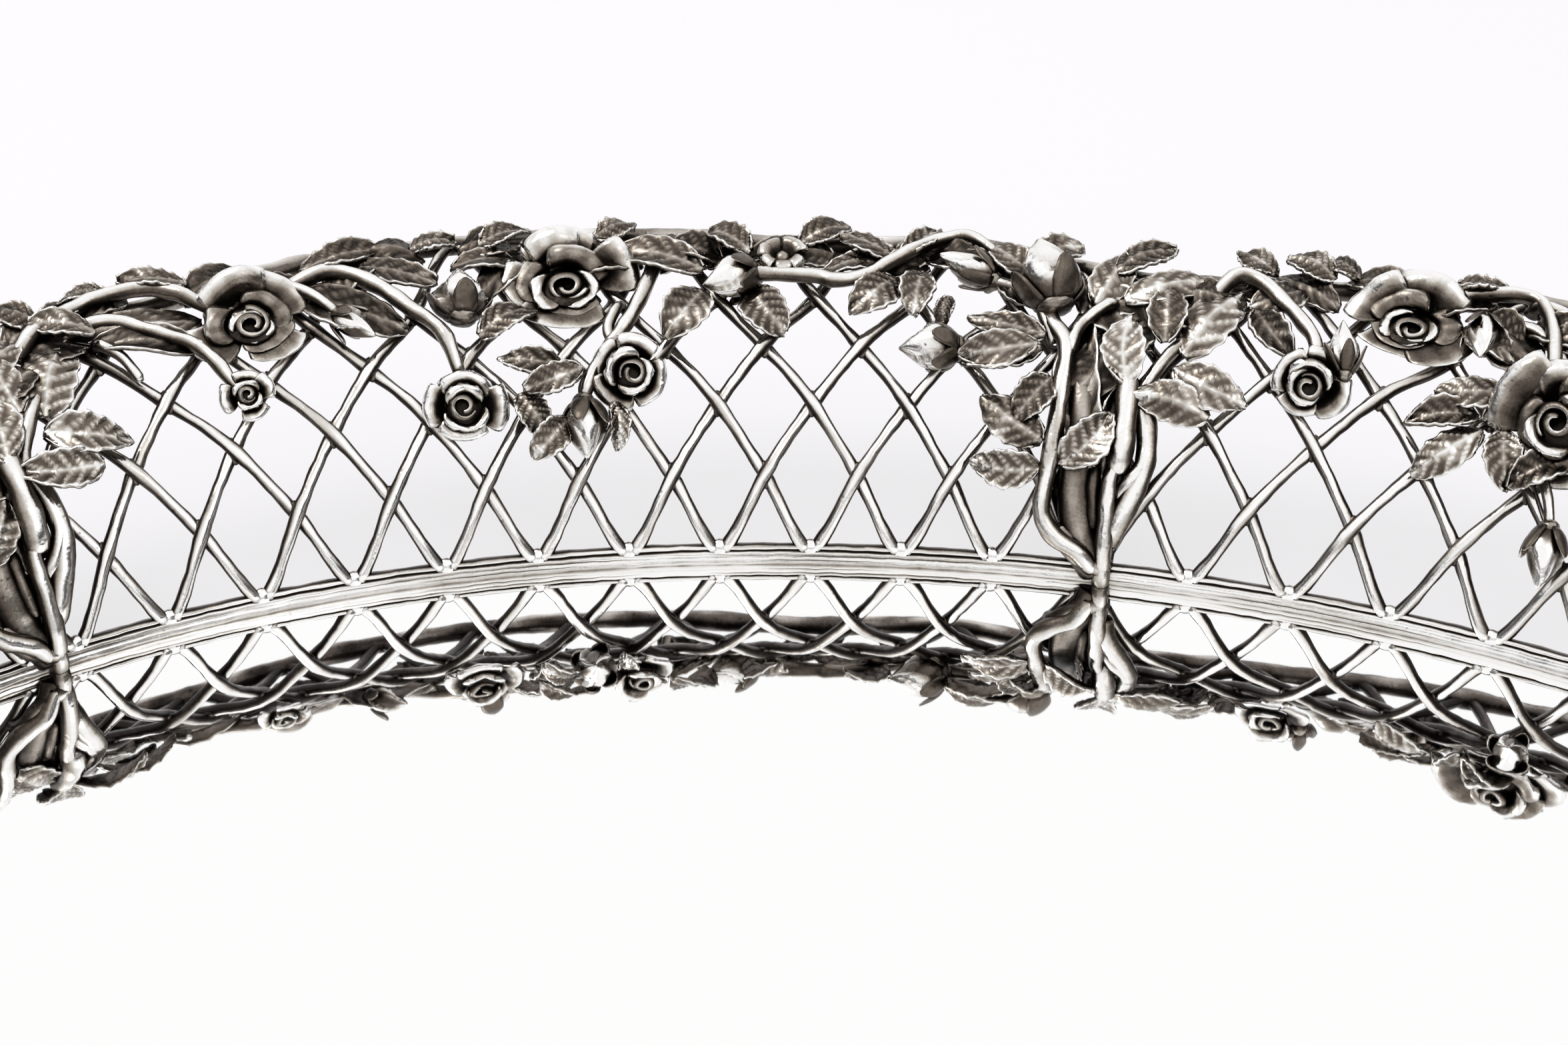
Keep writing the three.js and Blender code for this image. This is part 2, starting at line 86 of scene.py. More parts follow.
def startOf(section):
    return wall["firstJoint"] + (section - 2) * sectionLength


def endsOf(start):  # a length's castings stop half a gap short of its joints
    return start + wall["gap"] / 2, start + sectionLength - wall["gap"] / 2


def unit(v):
    return v / np.maximum(np.linalg.norm(v, axis=-1, keepdims=True), 1e-9)


def outward(east):  # level, and square to the wall
    return np.stack([-east[..., 1], east[..., 0], 0 * east[..., 2]], -1)


def wallAt(s, angle, lift=0.0):  # point, clockwise, up the bell, and off it towards the inside
    s, angle, lift = np.broadcast_arrays(*[np.asarray(x, float) for x in (s, angle, lift)])
    t = np.interp((s + ovalLength / 2) % ovalLength, arcTable, turnTable)
    a, b = wall["length"] / 2, wall["width"] / 2
    east = unit(np.stack([a * np.cos(t), -b * np.sin(t), 0 * t], -1))
    out = outward(east)
    theta = np.radians(angle)
    height = wall["height"] * np.sin(theta)
    reach = wall["foot"] + wall["lean"] * height + wall["flare"] * (1 - np.cos(theta))
    rise = wall["height"] * np.cos(theta)
    run = wall["lean"] * rise + wall["flare"] * np.sin(theta)
    up = unit(out * run[..., None] + np.stack([0 * t, 0 * t, rise], -1))
    normal = np.cross(east, up)
    point = np.stack([a * np.sin(t), b * np.cos(t), wall["floor"] + height], -1)
    point = point + out * reach[..., None] + normal * lift[..., None]
    return point, east, up, normal


def curve(knots, share):  # a smooth line through the knots, at shares of its length from 0 to 1
    knots = np.asarray(knots, float)
    last = len(knots) - 1
    x = np.clip(np.asarray(share, float), 0, 1) * last
    k = np.minimum(x.astype(int), last - 1)
    t = (x - k).reshape(x.shape + (1,) * (knots.ndim - 1))
    before, here, after, beyond = (knots[np.clip(k + i, 0, last)] for i in (-1, 0, 1, 2))
    pull, push = (after - before) / 2, (beyond - here) / 2
    return ((2 * here - 2 * after + pull + push) * t ** 3
            + (3 * after - 3 * here - 2 * pull - push) * t ** 2 + pull * t + here)


def uneven(points, much, size, seed=0.0):  # smooth, from -much to much, and the same each run
    x, y, z = np.moveaxis(points * (2 * math.pi / size), -1, 0)
    waves = np.sin(x + 1.7 * np.sin(0.8 * y + seed)) + np.sin(1.1 * y + 1.3 * np.sin(0.9 * z + 2 + seed))
    return much * ((waves + np.sin(1.2 * z + 1.5 * np.sin(0.7 * x + 4 + seed))) / 3)


def between(x, low, high):  # 0 at low, 1 at high, with a soft start and end
    x = np.clip((x - low) / (high - low), 0, 1)
    return x * x * (3 - 2 * x)


def grid(rows, columns, low=-1):  # from 0 to 1 along the rows, from low to 1 across them
    return np.linspace(0, 1, rows)[:, None], np.linspace(low, 1, columns)[None]


def ringed(rho, around, z):
    return np.stack(np.broadcast_arrays(rho * np.cos(around), rho * np.sin(around), z), -1)


def lowering(points, top):  # how far down brings them all under top
    return [0, 0, max(0.0, points[..., 2].max() - top)]


def swung(a, b, angle):  # two axes, turned towards each other in their plane
    c, s = math.cos(math.radians(angle)), math.sin(math.radians(angle))
    return a * c + b * s, b * c - a * s


rodLook = {
    "sides": 16, "front": (0.36, 0.92),  # where its bright front turns to its dark edge: tarnish on the sides, deepened with painted shade for the dark reflections there
    "rear": (2.2, 3.1), "rearLight": 0.3,
    # the streaks are painted dark reflections
    "reflectionStreaks": 3, "reflectionStreak": 0.34, "sway": (4, 34.0), "fade": (0.5, 13.0),
}
blobLook = {"rows": 7, "sides": 12, "pole": 0.12, "edge": 0.5, "front": (-0.8, 0.3)}
sheetLook = {"sideThin": 0.4, "tipThin": 0.3}
skinLook = {"size": 4.3, "seeds": (0, 1.9, 3.7)}  # the unevenness of a hand-finished casting


class Casting:  # closed skins that become one mesh; each point carries its darkness: tarnish, and in places painted shade, painted highlights and painted reflections
    def __init__(self):
        self.points, self.faces, self.dull, self.count = [], [], [], 0

    def close(self, rings, dull, flatEnds=False):  # rings (rows, columns, 3) into a closed skin
        rows, columns = rings.shape[:2]
        points = rings.reshape(-1, 3)
        dull = np.broadcast_to(dull, (rows, columns)).reshape(-1)
        low = np.arange(rows - 1)[:, None] * columns
        j = np.arange(columns)[None]
        k = (j + 1) % columns
        faces = np.stack([low + j, low + k, low + columns + k, low + columns + j], -1).reshape(-1, 4).tolist()
        top = (rows - 1) * columns
        if flatEnds:  # a sheet's ends, from its front to its back
            for i in range(columns // 2 - 1):
                near = [i, columns - 1 - i, columns - 2 - i, i + 1]
                faces += [near, [top + n for n in near[::-1]]]
        else:
            points = np.concatenate([points, rings[[0, -1]].mean(1)])
            dull = np.concatenate([dull, dull[[0, top]]])
            middle = rows * columns
            for i in range(columns):
                n = (i + 1) % columns
                faces += [[middle, n, i], [middle + 1, top + i, top + n]]
        corners = points[[face[:3] for face in faces]]
        volume = np.einsum("ij,ij->", corners[:, 0] - points.mean(0), np.cross(corners[:, 1], corners[:, 2]))
        if volume < 0:  # inside out
            faces = [face[::-1] for face in faces]
        self.faces += [[n + self.count for n in face] for face in faces]
        self.points.append(points)
        self.dull.append(dull)
        self.count += len(points)

    def rod(self, path, off, across, thick, dull, edge=0.9, seed=0.0):
        n, look = len(path), rodLook
        ahead = unit(np.gradient(path, axis=0))
        side = unit(np.cross(off, ahead))
        off = np.cross(ahead, side)
        turn = 2 * math.pi * (np.arange(look["sides"]) + 0.5) / look["sides"]
        across = np.broadcast_to(across, n)[:, None, None] * np.cos(turn)[None, :, None]
        thick = np.broadcast_to(thick, n)[:, None, None] * np.sin(turn)[None, :, None]
        rings = path[:, None] + side[:, None] * across + off[:, None] * thick
        aside = np.arccos(np.sin(turn))[None]  # from the front of the rod round to its back
        # The front stays light and the sides go dark: tarnish, deepened with painted shade for the dark
        # reflections a rod's sides show.
        shade = np.broadcast_to(dull, n)[:, None] + edge * between(aside, *look["front"])
        shade = shade - look["rearLight"] * between(aside, *look["rear"])
        # Painted dark reflections: streaks that wind along the rod and fade in and out.
        sway = uneven(path, *look["sway"], seed)[:, None]
        fade = 0.5 + uneven(path, *look["fade"], seed + 1)[:, None]
        shade = shade + look["reflectionStreak"] * np.sin(look["reflectionStreaks"] * turn[None] + sway) * fade
        self.close(rings, np.clip(shade, 0, 1))

    def blob(self, seat, size, dull):
        look = blobLook
        tilt = np.linspace(look["pole"], math.pi - look["pole"], look["rows"])[:, None]
        turn = 2 * math.pi * np.arange(look["sides"]) / look["sides"]
        x, y, z = np.cos(tilt) + 0 * turn, np.sin(tilt) * np.cos(turn), np.sin(tilt) * np.sin(turn)
        shade = np.clip(dull + look["edge"] * between(-z, *look["front"]), 0, 1)
        self.close(seat.put(np.stack([x, y, z], -1) * np.asarray(size)), shade)

    def sheet(self, middle, thick, dull, back=0.6):  # middle (rows, columns, 3), made a solid sheet
        normal = unit(np.cross(np.gradient(middle, axis=0), np.gradient(middle, axis=1)))
        rows, columns = middle.shape[:2]
        x = np.abs(np.linspace(-1, 1, columns))[None]
        y = np.linspace(0, 1, rows)[:, None]
        half = thick / 2 * (1 - sheetLook["sideThin"] * x ** 6) * (1 - sheetLook["tipThin"] * y ** 8)
        front, rear = middle + normal * half[..., None], (middle - normal * half[..., None])[:, ::-1]
        shade = np.concatenate([np.broadcast_to(dull, (rows, columns)), np.full((rows, columns), back)], 1)
        self.close(np.concatenate([front, rear], 1), np.clip(shade, 0, 1), flatEnds=True)

    def lower(self, top):
        down = lowering(np.concatenate(self.points), top)
        self.points = [points - down for points in self.points]

    def make(self, name, material, nodes, slot, rough=0.1):
        points = np.concatenate(self.points)
        shift = [uneven(points, rough, skinLook["size"], seed) for seed in skinLook["seeds"]]
        points = points + np.stack(shift, -1)
        mesh = bpy.data.meshes.new(name)
        mesh.from_pydata((points / 1000).tolist(), [], self.faces)
        mesh.attributes.new("dull", "FLOAT", "POINT").data.foreach_set("value", np.concatenate(self.dull))
        mesh.shade_smooth()
        mesh.materials.append(material)
        thing = addThing(name, mesh)
        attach(thing, "root")
        for node in nodes:
            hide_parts(node)


class Seat:  # a frame on the wall: x along the turn (0 is clockwise, 90 up), z off the wall
    def __init__(self, s, angle, lift=0.0, turn=0.0, tip=0.0):
        self.point, east, up, normal = wallAt(s, angle, lift)
        ahead = swung(east, up, turn)[0]
        side = np.cross(normal, ahead)
        ahead, normal = swung(ahead, normal, tip)  # the x axis rises off the wall by this
        self.axes = np.stack([ahead, side, normal])

    def turn(self, tip, spin):  # tips it down the wall, then spins it on its own axis
        x, y, z = self.axes
        x, z = swung(x, z, tip)
        self.axes = np.stack([*swung(x, y, spin), z])

    def put(self, local):
        return self.point + local @ self.axes


class Value:  # a socket that takes part in sums
    def __init__(self, recipe, socket):
        self.recipe, self.socket = recipe, socket

    def sum(self, operation, a, b, clamp=False):
        return self.recipe.add("Math", {"operation": operation, "use_clamp": clamp}, {0: a, 1: b})

    def __add__(self, other): return self.sum("ADD", self, other)
    def __radd__(self, other): return self.sum("ADD", other, self)
    def __sub__(self, other): return self.sum("SUBTRACT", self, other)
    def __rsub__(self, other): return self.sum("SUBTRACT", other, self)
    def __mul__(self, other): return self.sum("MULTIPLY", self, other)
    def __rmul__(self, other): return self.sum("MULTIPLY", other, self)
    def __pow__(self, other): return self.sum("POWER", self, other)

    def clamp(self):
        return self.sum("ADD", self, 0.0, clamp=True)


class Recipe:  # the node tree of one material or of the world
    def __init__(self, tree):
        self.tree = tree
        self.tree.nodes.clear()

    def add(self, kind, settings=None, inputs=None, out=0):
        node = self.tree.nodes.new("ShaderNode" + kind)
        for key, value in (settings or {}).items():
            if key == "stops":
                ramp = node.color_ramp.elements
                while len(ramp) < len(value):
                    ramp.new(0.5)
                for element, (place, colour) in zip(ramp, value):
                    element.position, element.color = place, (*colour, 1)
            else:
                setattr(node, key, value)
        for key, value in (inputs or {}).items():
            if isinstance(value, Value):
                self.tree.links.new(value.socket, node.inputs[key])
            else:
                node.inputs[key].default_value = value
        return Value(self, node.outputs[out]) if len(node.outputs) else node

    def mix(self, share, a, b):
        return self.add("Mix", {"data_type": "RGBA"}, {0: share, 6: a, 7: b}, out=2)

    def noise(self, place, detail):
        return self.add("TexNoise", {"noise_dimensions": "3D"}, {"Vector": place, **detail})


def newMaterial(name):
    material = bpy.data.materials.new(name)
    material.use_nodes = True
    return material, Recipe(material.node_tree)


castDetail = {  # what the two cast silvers share; a scale is in cells to the metre
    "blotch": {"Scale": 260.0, "Detail": 5.0, "Roughness": 0.62},
    "grain": {"Scale": 1900.0, "Detail": 3.0, "Roughness": 0.6},
    "pits": {"Scale": 620.0, "Randomness": 1.0},
    "pitEdge": [(0.08, (1, 1, 1)), (0.26, (0, 0, 0))], "pitSpare": 0.25, "pitDark": 0.35,
    "cleanMottle": 0.3, "grainShine": 0.12,
    "relief": {"blotch": 0.5, "grain": 0.16, "pits": 0.7}, "reliefDepth": 0.00025,
}


def castSilver(name, look):
    material, r = newMaterial(name)
    cast, relief = castDetail, castDetail["relief"]
    place = r.add("TexCoord", out=3)
    dull = r.add("Attribute", {"attribute_name": "dull"}, out=2)
    blotch, grain = r.noise(place, cast["blotch"]), r.noise(place, cast["grain"])
    pits = r.add("TexVoronoi", {"feature": "F1"}, {"Vector": place, **cast["pits"]})
    free = r.add("AmbientOcclusion", {"samples": 6, "only_local": False}, {"Distance": look["hollow"]}, out=1)
    pitted = r.add("ValToRGB", {"stops": cast["pitEdge"]}, {0: pits}) * (blotch - cast["pitSpare"])
    mottle = (blotch - 0.5) * look["blotch"] + (grain - 0.5) * look["grain"] + pitted * cast["pitDark"]
    dark = dull * look["dull"] + mottle * (cast["cleanMottle"] + dull)
    dark = (dark + (1.0 - free) ** 1.3 * look["depth"] - look["worn"]).clamp()
    tint = r.add("ValToRGB", {"stops": look["tints"]}, {0: dark})
    rough = look["shine"][0] + dark * look["shine"][1] + (grain - 0.5) * cast["grainShine"]
    height = blotch * relief["blotch"] + grain * relief["grain"] - pitted * relief["pits"]
    bump = r.add("Bump", inputs={"Strength": look["bump"], "Distance": cast["reliefDepth"], "Height": height})
    shader = r.add("BsdfPrincipled",
                   inputs={"Base Color": tint, "Roughness": rough, "Metallic": 1.0, "Normal": bump})
    r.add("OutputMaterial", inputs={"Surface": shader})
    return material


galleryLook = {
    "dull": 1.0, "blotch": 0.42, "grain": 0.2, "depth": 0.62, "worn": 0.07, "hollow": 0.003,
    "shine": (0.1, 0.3), "bump": 0.35,
    "tints": [(0.0, (0.97, 0.965, 0.955)), (0.3, (0.62, 0.58, 0.53)),
              (0.6, (0.155, 0.13, 0.112)), (0.9, (0.026, 0.021, 0.018))],
}
flowerLook = {
    "dull": 0.96, "blotch": 0.55, "grain": 0.3, "depth": 0.66, "worn": 0.0, "hollow": 0.004,
    "shine": (0.12, 0.28), "bump": 0.7,
    "tints": [(0.0, (0.96, 0.95, 0.935)), (0.3, (0.46, 0.417, 0.365)),
              (0.6, (0.148, 0.122, 0.1)), (1.0, (0.022, 0.018, 0.015))],
}
floorLook = {
    "colour": (0.99, 0.99, 0.988, 1), "cloudColour": (0.975, 0.975, 0.97, 1),
    "cloud": {"Scale": 22.0, "Detail": 4.0, "Roughness": 0.5}, "fine": {"Scale": 700.0, "Detail": 2.0},
    "rough": 0.012, "cloudRough": 0.012, "fineRough": 0.008,
}


def polishedSilver(name, look):
    material, r = newMaterial(name)
    place = r.add("TexCoord", out=3)
    cloud, fine = r.noise(place, look["cloud"]), r.noise(place, look["fine"])
    tint = r.mix(cloud, look["colour"], look["cloudColour"])
    rough = look["rough"] + cloud * look["cloudRough"] + fine * look["fineRough"]
    shader = r.add("BsdfPrincipled", inputs={"Base Color": tint, "Roughness": rough, "Metallic": 1.0})
    r.add("OutputMaterial", inputs={"Surface": shader})
    return material


gallerySilver = castSilver("gallery silver", galleryLook)
flowerSilver = castSilver("flower silver", flowerLook)
floorSilver = polishedSilver("floor silver", floorLook)
print("materials made")

plate = {  # how far each ring stands out from the oval, and its height
    "profile": [(-12, 0.0), (2.6, 0.0), (3.1, 0.04), (3.5, 0.4), (3.6, 0.6), (3.6, 1.1), (3.45, 1.45),
                (3.1, 1.66), (2.6, 1.7), (0.6, 1.7), (0.5, 1.72), (0.2, 1.98), (0.1, 2.0), (-0.6, 2.0),
                (-12, 2.0)],
    "sides": 360,
}


def makePlate(look):
    casting = Casting()
    turn = 2 * math.pi * np.arange(look["sides"]) / look["sides"]
    a, b = wall["length"] / 2, wall["width"] / 2
    rings = [np.stack([(a + out) * np.cos(turn), (b + out) * np.sin(turn), z + 0 * turn], -1)
             for out, z in look["profile"]]
    casting.close(np.array(rings), 0.0)
    casting.make("plate", floorSilver, ["base_plate"], "polished_floor", rough=0.0)


makePlate(plate)

# The galleries: wires, band, posts and rim. A layout's lead and pitches place the feet of its wires.
layouts = [
    {"pitches": 11.45, "lead": 0.25, "rim": [74, 76, 83, 85, 84, 79, 81.3, 73]},
    {"pitches": 10.55, "lead": 0.87, "rim": [73, 77, 84, 87, 84, 80, 83, 74]},
    {"pitches": 11.45, "lead": 1.2, "rim": [73, 81.3, 79, 84, 85, 83, 76, 74]},
]
wires = {
    "thick": 0.96, "weave": 0.6, "fade": 0.7, "spread": 0.05, "foot": 0.1,
    "levels": 5, "rings": 10,  # the rows of cells that a wire climbs, and its rings in each
    "clear": 0.75, "shortest": 0.12, "margin": 1.5,
    "swell": 0.2, "swellThick": 0.06, "spacing": 11, "swellReach": 2.3, "footSwell": 0.25,
    # the wires' darkening per row up the bell is painted reflection
    "uneven": (0.05, 7.0), "dull": 0.07, "polish": 0.05,
}
fillets = {  # the solder where wires meet: its half sizes and its tarnish
    "lift": -0.1, "footAngle": 4.0, "foot": ((1.5, 1.7, 1.1), 0.0), "cross": ((2.3, 1.25, 0.65), 0.55),
}
band = {  # a plain strip, a seam darkened with painted shade, and the thin bar that the wires grow from
    "profile": [(0.3, -0.3), (0.03, -0.06), (0.0, 0.15), (0.05, 0.72), (0.12, 0.82), (0.1, 0.94),
                (0.1, 1.42), (0.15, 1.52), (0.14, 1.64), (0.16, 2.05), (0.3, 2.22), (0.66, 2.3),
                (0.78, 2.42), (0.66, 2.52), (0.4, 2.64), (0.32, 2.86), (0.4, 3.1), (0.66, 3.3),
                (1.0, 3.34), (1.6, 3.2), (2.2, 2.9), (2.45, 2.3), (2.4, -0.3)],
    # the dark rows at the seam are painted shade
    "dull": [0.9, 0.3, 0, 0, 0, 0, 0, 0, 0, 0, 0.25, 0.9,
             1, 0.9, 0.25, 0, 0.05, 0.6, 1, 0.8, 0.6, 0.5, 0.7],
    "reflectionLines": [0, 0, 0.35, 0.1, 1.0, 0.45, 0.05, 1.0, 0.7, 0.05, 0.4, 0,
              0, 0, 0.4, 0.1, 0.4, 0.2, 0, 0, 0, 0, 0],  # painted dark reflections, in lines that come and go
    "steps": 140, "stretch": 0.13, "apart": 17.0, "size": 6.0, "come": (-0.25, 0.3), "polish": 0.1,
}
branch = {
    "steps": 150, "across": 1.6, "uneven": (0.16, 9.0), "knot": 0.3, "knotSize": 23.0,
    "dull": 0.4, "mottle": (0.25, 11.0), "edge": 0.4,
}
posts = {  # each stands this far in from the near or the far end; then its thickness and tarnish
    "ends": [(0.9, 0.95, 0.1), (-1.0, 0.85, 0.5)],
    "foot": 2.5, "steps": 40, "uneven": (0.12, 8.0),
}


def rimAngle(layout, start, s):
    share = (s - start - wall["gap"] / 2) / (sectionLength - wall["gap"])
    return curve(layout["rim"], share)


def wirePath(layout, start, lean, k):
    pitch, levels = sectionLength / layout["pitches"], wires["levels"]
    place = start + (layout["lead"] + k) * pitch

    def follow(level):
        spread = np.interp(level, [0, 1, levels - 1, levels], [wires["spread"], 0, 0, -wires["spread"]])
        return place + lean * (level * pitch / 2 + spread)

    level = np.linspace(wires["foot"], levels, levels * wires["rings"] + 1)
    s = follow(level)
    low, high = endsOf(start)
    low += wires["clear"]
    ends = np.interp([low, high][::lean], s[::lean], level[::lean])
    climb = abs(ends[1] - ends[0])
    if climb < wires["shortest"]:
        return None
    top = float(rimAngle(layout, start, np.clip(s[-1], low, high)))
    level = np.linspace(ends[0], ends[1], max(int(climb * wires["rings"]), 4))
    angle = curve(wall["crossings"] + [top], level / levels)
    fade = between(level, 0, wires["fade"]) * between(levels - level, 0, wires["fade"])
    return level, follow(level), angle, -lean * wires["weave"] * np.cos(math.pi * level) * fade


def makeWires(casting, layout, start):
    pitch, levels = sectionLength / layout["pitches"], wires["levels"]
    for lean in (1, -1):
        for k in range(-levels, int(layout["pitches"]) + levels + 1):
            path = wirePath(layout, start, lean, k)
            if path is None:
                continue
            level, s, angle, lift = path
            points, _, _, off = wallAt(s, angle, lift)
            fromCross = (level - np.round(level)) * wires["spacing"]  # mm
            nearCross = np.exp(-(fromCross / wires["swellReach"]) ** 2) * (np.round(level) % levels > 0)
            foot = between(1.0 - level, 0.3, 1.0)
            across = wires["thick"] * (1 + wires["swell"] * nearCross + wires["footSwell"] * foot)
            across = across * (1 + uneven(points, *wires["uneven"], k))
            thick = wires["thick"] * (1 + wires["swellThick"] * nearCross)
            # The wires darken row by row up the bell: painted reflection, light near the band and dark
            # towards the rim.
            casting.rod(points, off, across, thick, wires["dull"] * level - wires["polish"], seed=k + lean)
    low, high = start + wires["margin"], start + sectionLength - wires["margin"]
    for k in range(-levels, int(layout["pitches"]) + 2):
        place = start + (layout["lead"] + k) * pitch
        if low < place < high:
            casting.blob(Seat(place, fillets["footAngle"], fillets["lift"], 90), *fillets["foot"])
        for level in range(1, levels):
            s = place + level * pitch / 2
            if low < s < high:
                casting.blob(Seat(s, wall["crossings"][level], fillets["lift"], 90), *fillets["cross"])


def makeBand(casting, start, look):
    s = np.linspace(*endsOf(start), look["steps"])
    foot, east, _, _ = wallAt(s, 0)
    out = outward(east)
    rings = np.stack([foot + out * (d - wall["foot"]) + np.array([0, 0, h]) for d, h in look["profile"]], 1)
    rows = look["apart"] * np.arange(len(look["dull"]))
    places = np.stack(np.broadcast_arrays(s[:, None] * look["stretch"], rows, start), -1)
    # Painted dark reflections, in lines along the band that come and go.
    reflectionLines = np.array(look["reflectionLines"])[None] * between(uneven(places, 1, look["size"]), *look["come"])
    casting.close(rings, np.clip(np.array(look["dull"])[None] + reflectionLines - look["polish"], 0, 1))


def makeRim(casting, layout, start, look):
    s = np.linspace(*endsOf(start), look["steps"])
    points, _, _, off = wallAt(s, rimAngle(layout, start, s))
    knots = look["knot"] * np.maximum(0, uneven(points, 1, look["knotSize"], start)) ** 2
    across = look["across"] + uneven(points, *look["uneven"], 1.0) + knots
    dull = look["dull"] + uneven(points, *look["mottle"], 5.0)
    casting.rod(points, off, across, across, dull, edge=look["edge"])


def makePosts(casting, layout, start, look):
    for inward, thick, dull in look["ends"]:
        s = (start if inward > 0 else start + sectionLength) + inward
        angle = np.linspace(look["foot"], float(rimAngle(layout, start, s)), look["steps"])
        points, _, _, off = wallAt(np.full(look["steps"], s), angle)
        across = thick * (1 + uneven(points, *look["uneven"]))
        casting.rod(points, off, across, thick, dull)


for section in sections:
    layout, start = layouts[(section - 1) % 3], startOf(section)
    casting = Casting()
    makeBand(casting, start, band)
    makeWires(casting, layout, start)
    makePosts(casting, layout, start, posts)
    makeRim(casting, layout, start, branch)
    casting.make(f"gallery_{section}", gallerySilver, [f"gallery_section_{section}"], "cast_gallery")
print("galleries made")

# The roses: lengths are shares of the radius, rise and curl are degrees, lip is how bright the rim is.
ringParts = ("petals", "root", "low", "rise", "curl", "from", "length", "width", "lip")
roseLooks = {
    "full": {
        "heart": {"turns": 1.45, "root": 0.1, "reach": 0.25, "low": 0.3, "high": 0.84, "aside": 0.08},
        "rings": [
            (2, 0.36, 0.2, 84, 30, 0.6, 0.6, 0.62, 0.8),
            (3, 0.4, 0.12, 62, -80, 0.45, 0.8, 0.74, 0.8),
            (4, 0.44, 0.1, 32, -135, 0.5, 1.16, 0.88, 0.8),
        ],
        "crown": (1, 0.66, 0.16, 50, -150, 0.1, 0.95, 0.68, 0.6),
    },
    "cup": {
        "heart": {"turns": 1.2, "root": 0.15, "reach": 0.2, "low": 0.2, "high": 0.78, "aside": 0.07},
        "rings": [
            (2, 0.44, 0.1, 86, 30, 0.6, 0.72, 0.8, 0.8),
            (4, 0.48, 0.06, 48, -130, 0.42, 0.94, 0.8, 0.8),
        ],
    },
    "fullFrom": 7, "thick": 0.9, "middle": 0.45, "face": 22, "turned": 0.9, "top": 47.7,
    "knee": 0.66, "rest": 1.3, "offset": 17, "crownTurn": (5, 45), "crownThick": 1.5,
    "calyx": (0.52, 0.52, 0.3),
}
heartLook = {
    "rows": 9, "columns": 40, "fall": 0.1, "wave": 0.04, "lip": (0.72, 0.95), "lipLight": 0.95,
    "swell": 0.5, "back": 0.85,
}
petalLook = {
    "rows": 16, "columns": 15,
    "lengths": (0.78, 1.18), "rises": (-10, 10), "curls": (-25, 15), "widths": (0.8, 1.15),
    "curlWave": 0.06, "rimWave": 0.04,
    "closest": 0.34, "cup": 0.05, "edgeOut": 0.07, "edgeDown": 0.1, "notch": 0.05, "notchWide": 0.16,
    "sideLip": 0.85, "upright": 60, "swell": 0.6,
    "throat": 0.5, "vein": 0.08, "veins": 11,
}


def petal(casting, seat, radius, turn, ring, thick, luck, look=petalLook):
    v, u = grid(look["rows"], look["columns"])  # from the root to the rim, and from side to side
    length = ring["length"] * radius * luck.uniform(*look["lengths"])
    rise = math.radians(ring["rise"] + luck.uniform(*look["rises"]))
    curl = math.radians(ring["curl"] + luck.uniform(*look["curls"]))
    begin = ring["from"] + look["curlWave"] * np.cos(2.6 * u + luck.uniform(0, 6))
    slope = rise + (curl - rise) * between(v, begin, 1.05)
    rho = ring["root"] * radius + np.cumsum(np.cos(slope) * length / look["rows"], axis=0)
    z = ring["low"] * radius + np.cumsum(np.sin(slope) * length / look["rows"], axis=0)
    outline = (0.5 + 0.5 * v ** 0.6) * np.sqrt(1 - (0.96 * v) ** 9)  # half wide at the root, round at the rim
    half = ring["width"] * radius * luck.uniform(*look["widths"]) * outline
    bend = u * half / np.maximum(rho, look["closest"] * radius)
    edge = between(np.abs(u), 0.6, 1.0) * between(v, 0.25, 0.9)
    rho = rho - look["cup"] * radius * u * u + edge * look["edgeOut"] * radius
    wave = look["rimWave"] * radius * np.cos(2.3 * u + luck.uniform(0, 6)) * v
    z = z - edge * look["edgeDown"] * radius + wave
    z = z - look["notch"] * radius * np.exp(-(u / look["notchWide"]) ** 2) * between(v, 0.7, 1)
    around = math.radians(turn) + bend
    middle = ringed(rho, around, z)
    if ring["rise"] > look["upright"]:  # only the rim of an upright petal is polished
        side = 0.8 * between(np.abs(u), 0.86, 1) * between(v, 0.3, 0.6)
        lip = np.maximum(between(v, 0.78, 0.93), side)
    else:
        side = look["sideLip"] * between(np.abs(u), 0.84, 0.98)
        lip = np.maximum(between(v, begin + 0.02, begin + 0.3), side)
    veins = look["vein"] * np.cos(u * look["veins"] + 0.8 * np.sin(3 * v))
    shade = 1.0 - look["throat"] * between(v, 0.1, 0.8) + veins - ring["lip"] * lip
    casting.sheet(seat.put(middle), thick * (1 + look["swell"] * between(v, 0.6, 0.95)), shade)


def rolledHeart(casting, seat, radius, heart, thick, luck, look=heartLook):
    v, u = grid(look["rows"], look["columns"], 0)
    around = 2 * math.pi * heart["turns"] * u
    reach = radius * (heart["root"] + heart["reach"] * u ** 0.9) * (0.72 + 0.36 * v)
    high = radius * (heart["low"] + (heart["high"] - heart["low"] - look["fall"] * u) * v)
    high = high + look["wave"] * radius * np.sin(around * 1.5) * v
    aside = luck.uniform(0, 2 * math.pi)
    middle = ringed(reach, around, high) + heart["aside"] * radius * ringed(1, aside, 0)
    shade = 1.0 - look["lipLight"] * between(v, *look["lip"])
    thick = thick * (0.85 + look["swell"] * between(v, 0.7, 1))
    casting.sheet(seat.put(middle), thick, shade, back=look["back"])


def layOnWires(casting, s, angle, radius):  # bends up the petals that would go through the wires
    foot, _, _, normal = wallAt(s, angle)
    knee = roseLooks["knee"] * radius
    span = knee - roseLooks["rest"]
    deepest = knee - min(((points - foot) @ normal).min() for points in casting.points)
    if deepest > span:
        for k, points in enumerate(casting.points):
            deep = np.maximum(knee - (points - foot) @ normal, 0)
            eased = span * deep / (span + deep * (1 - span / deepest))
            casting.points[k] = points + (deep - eased)[:, None] * normal


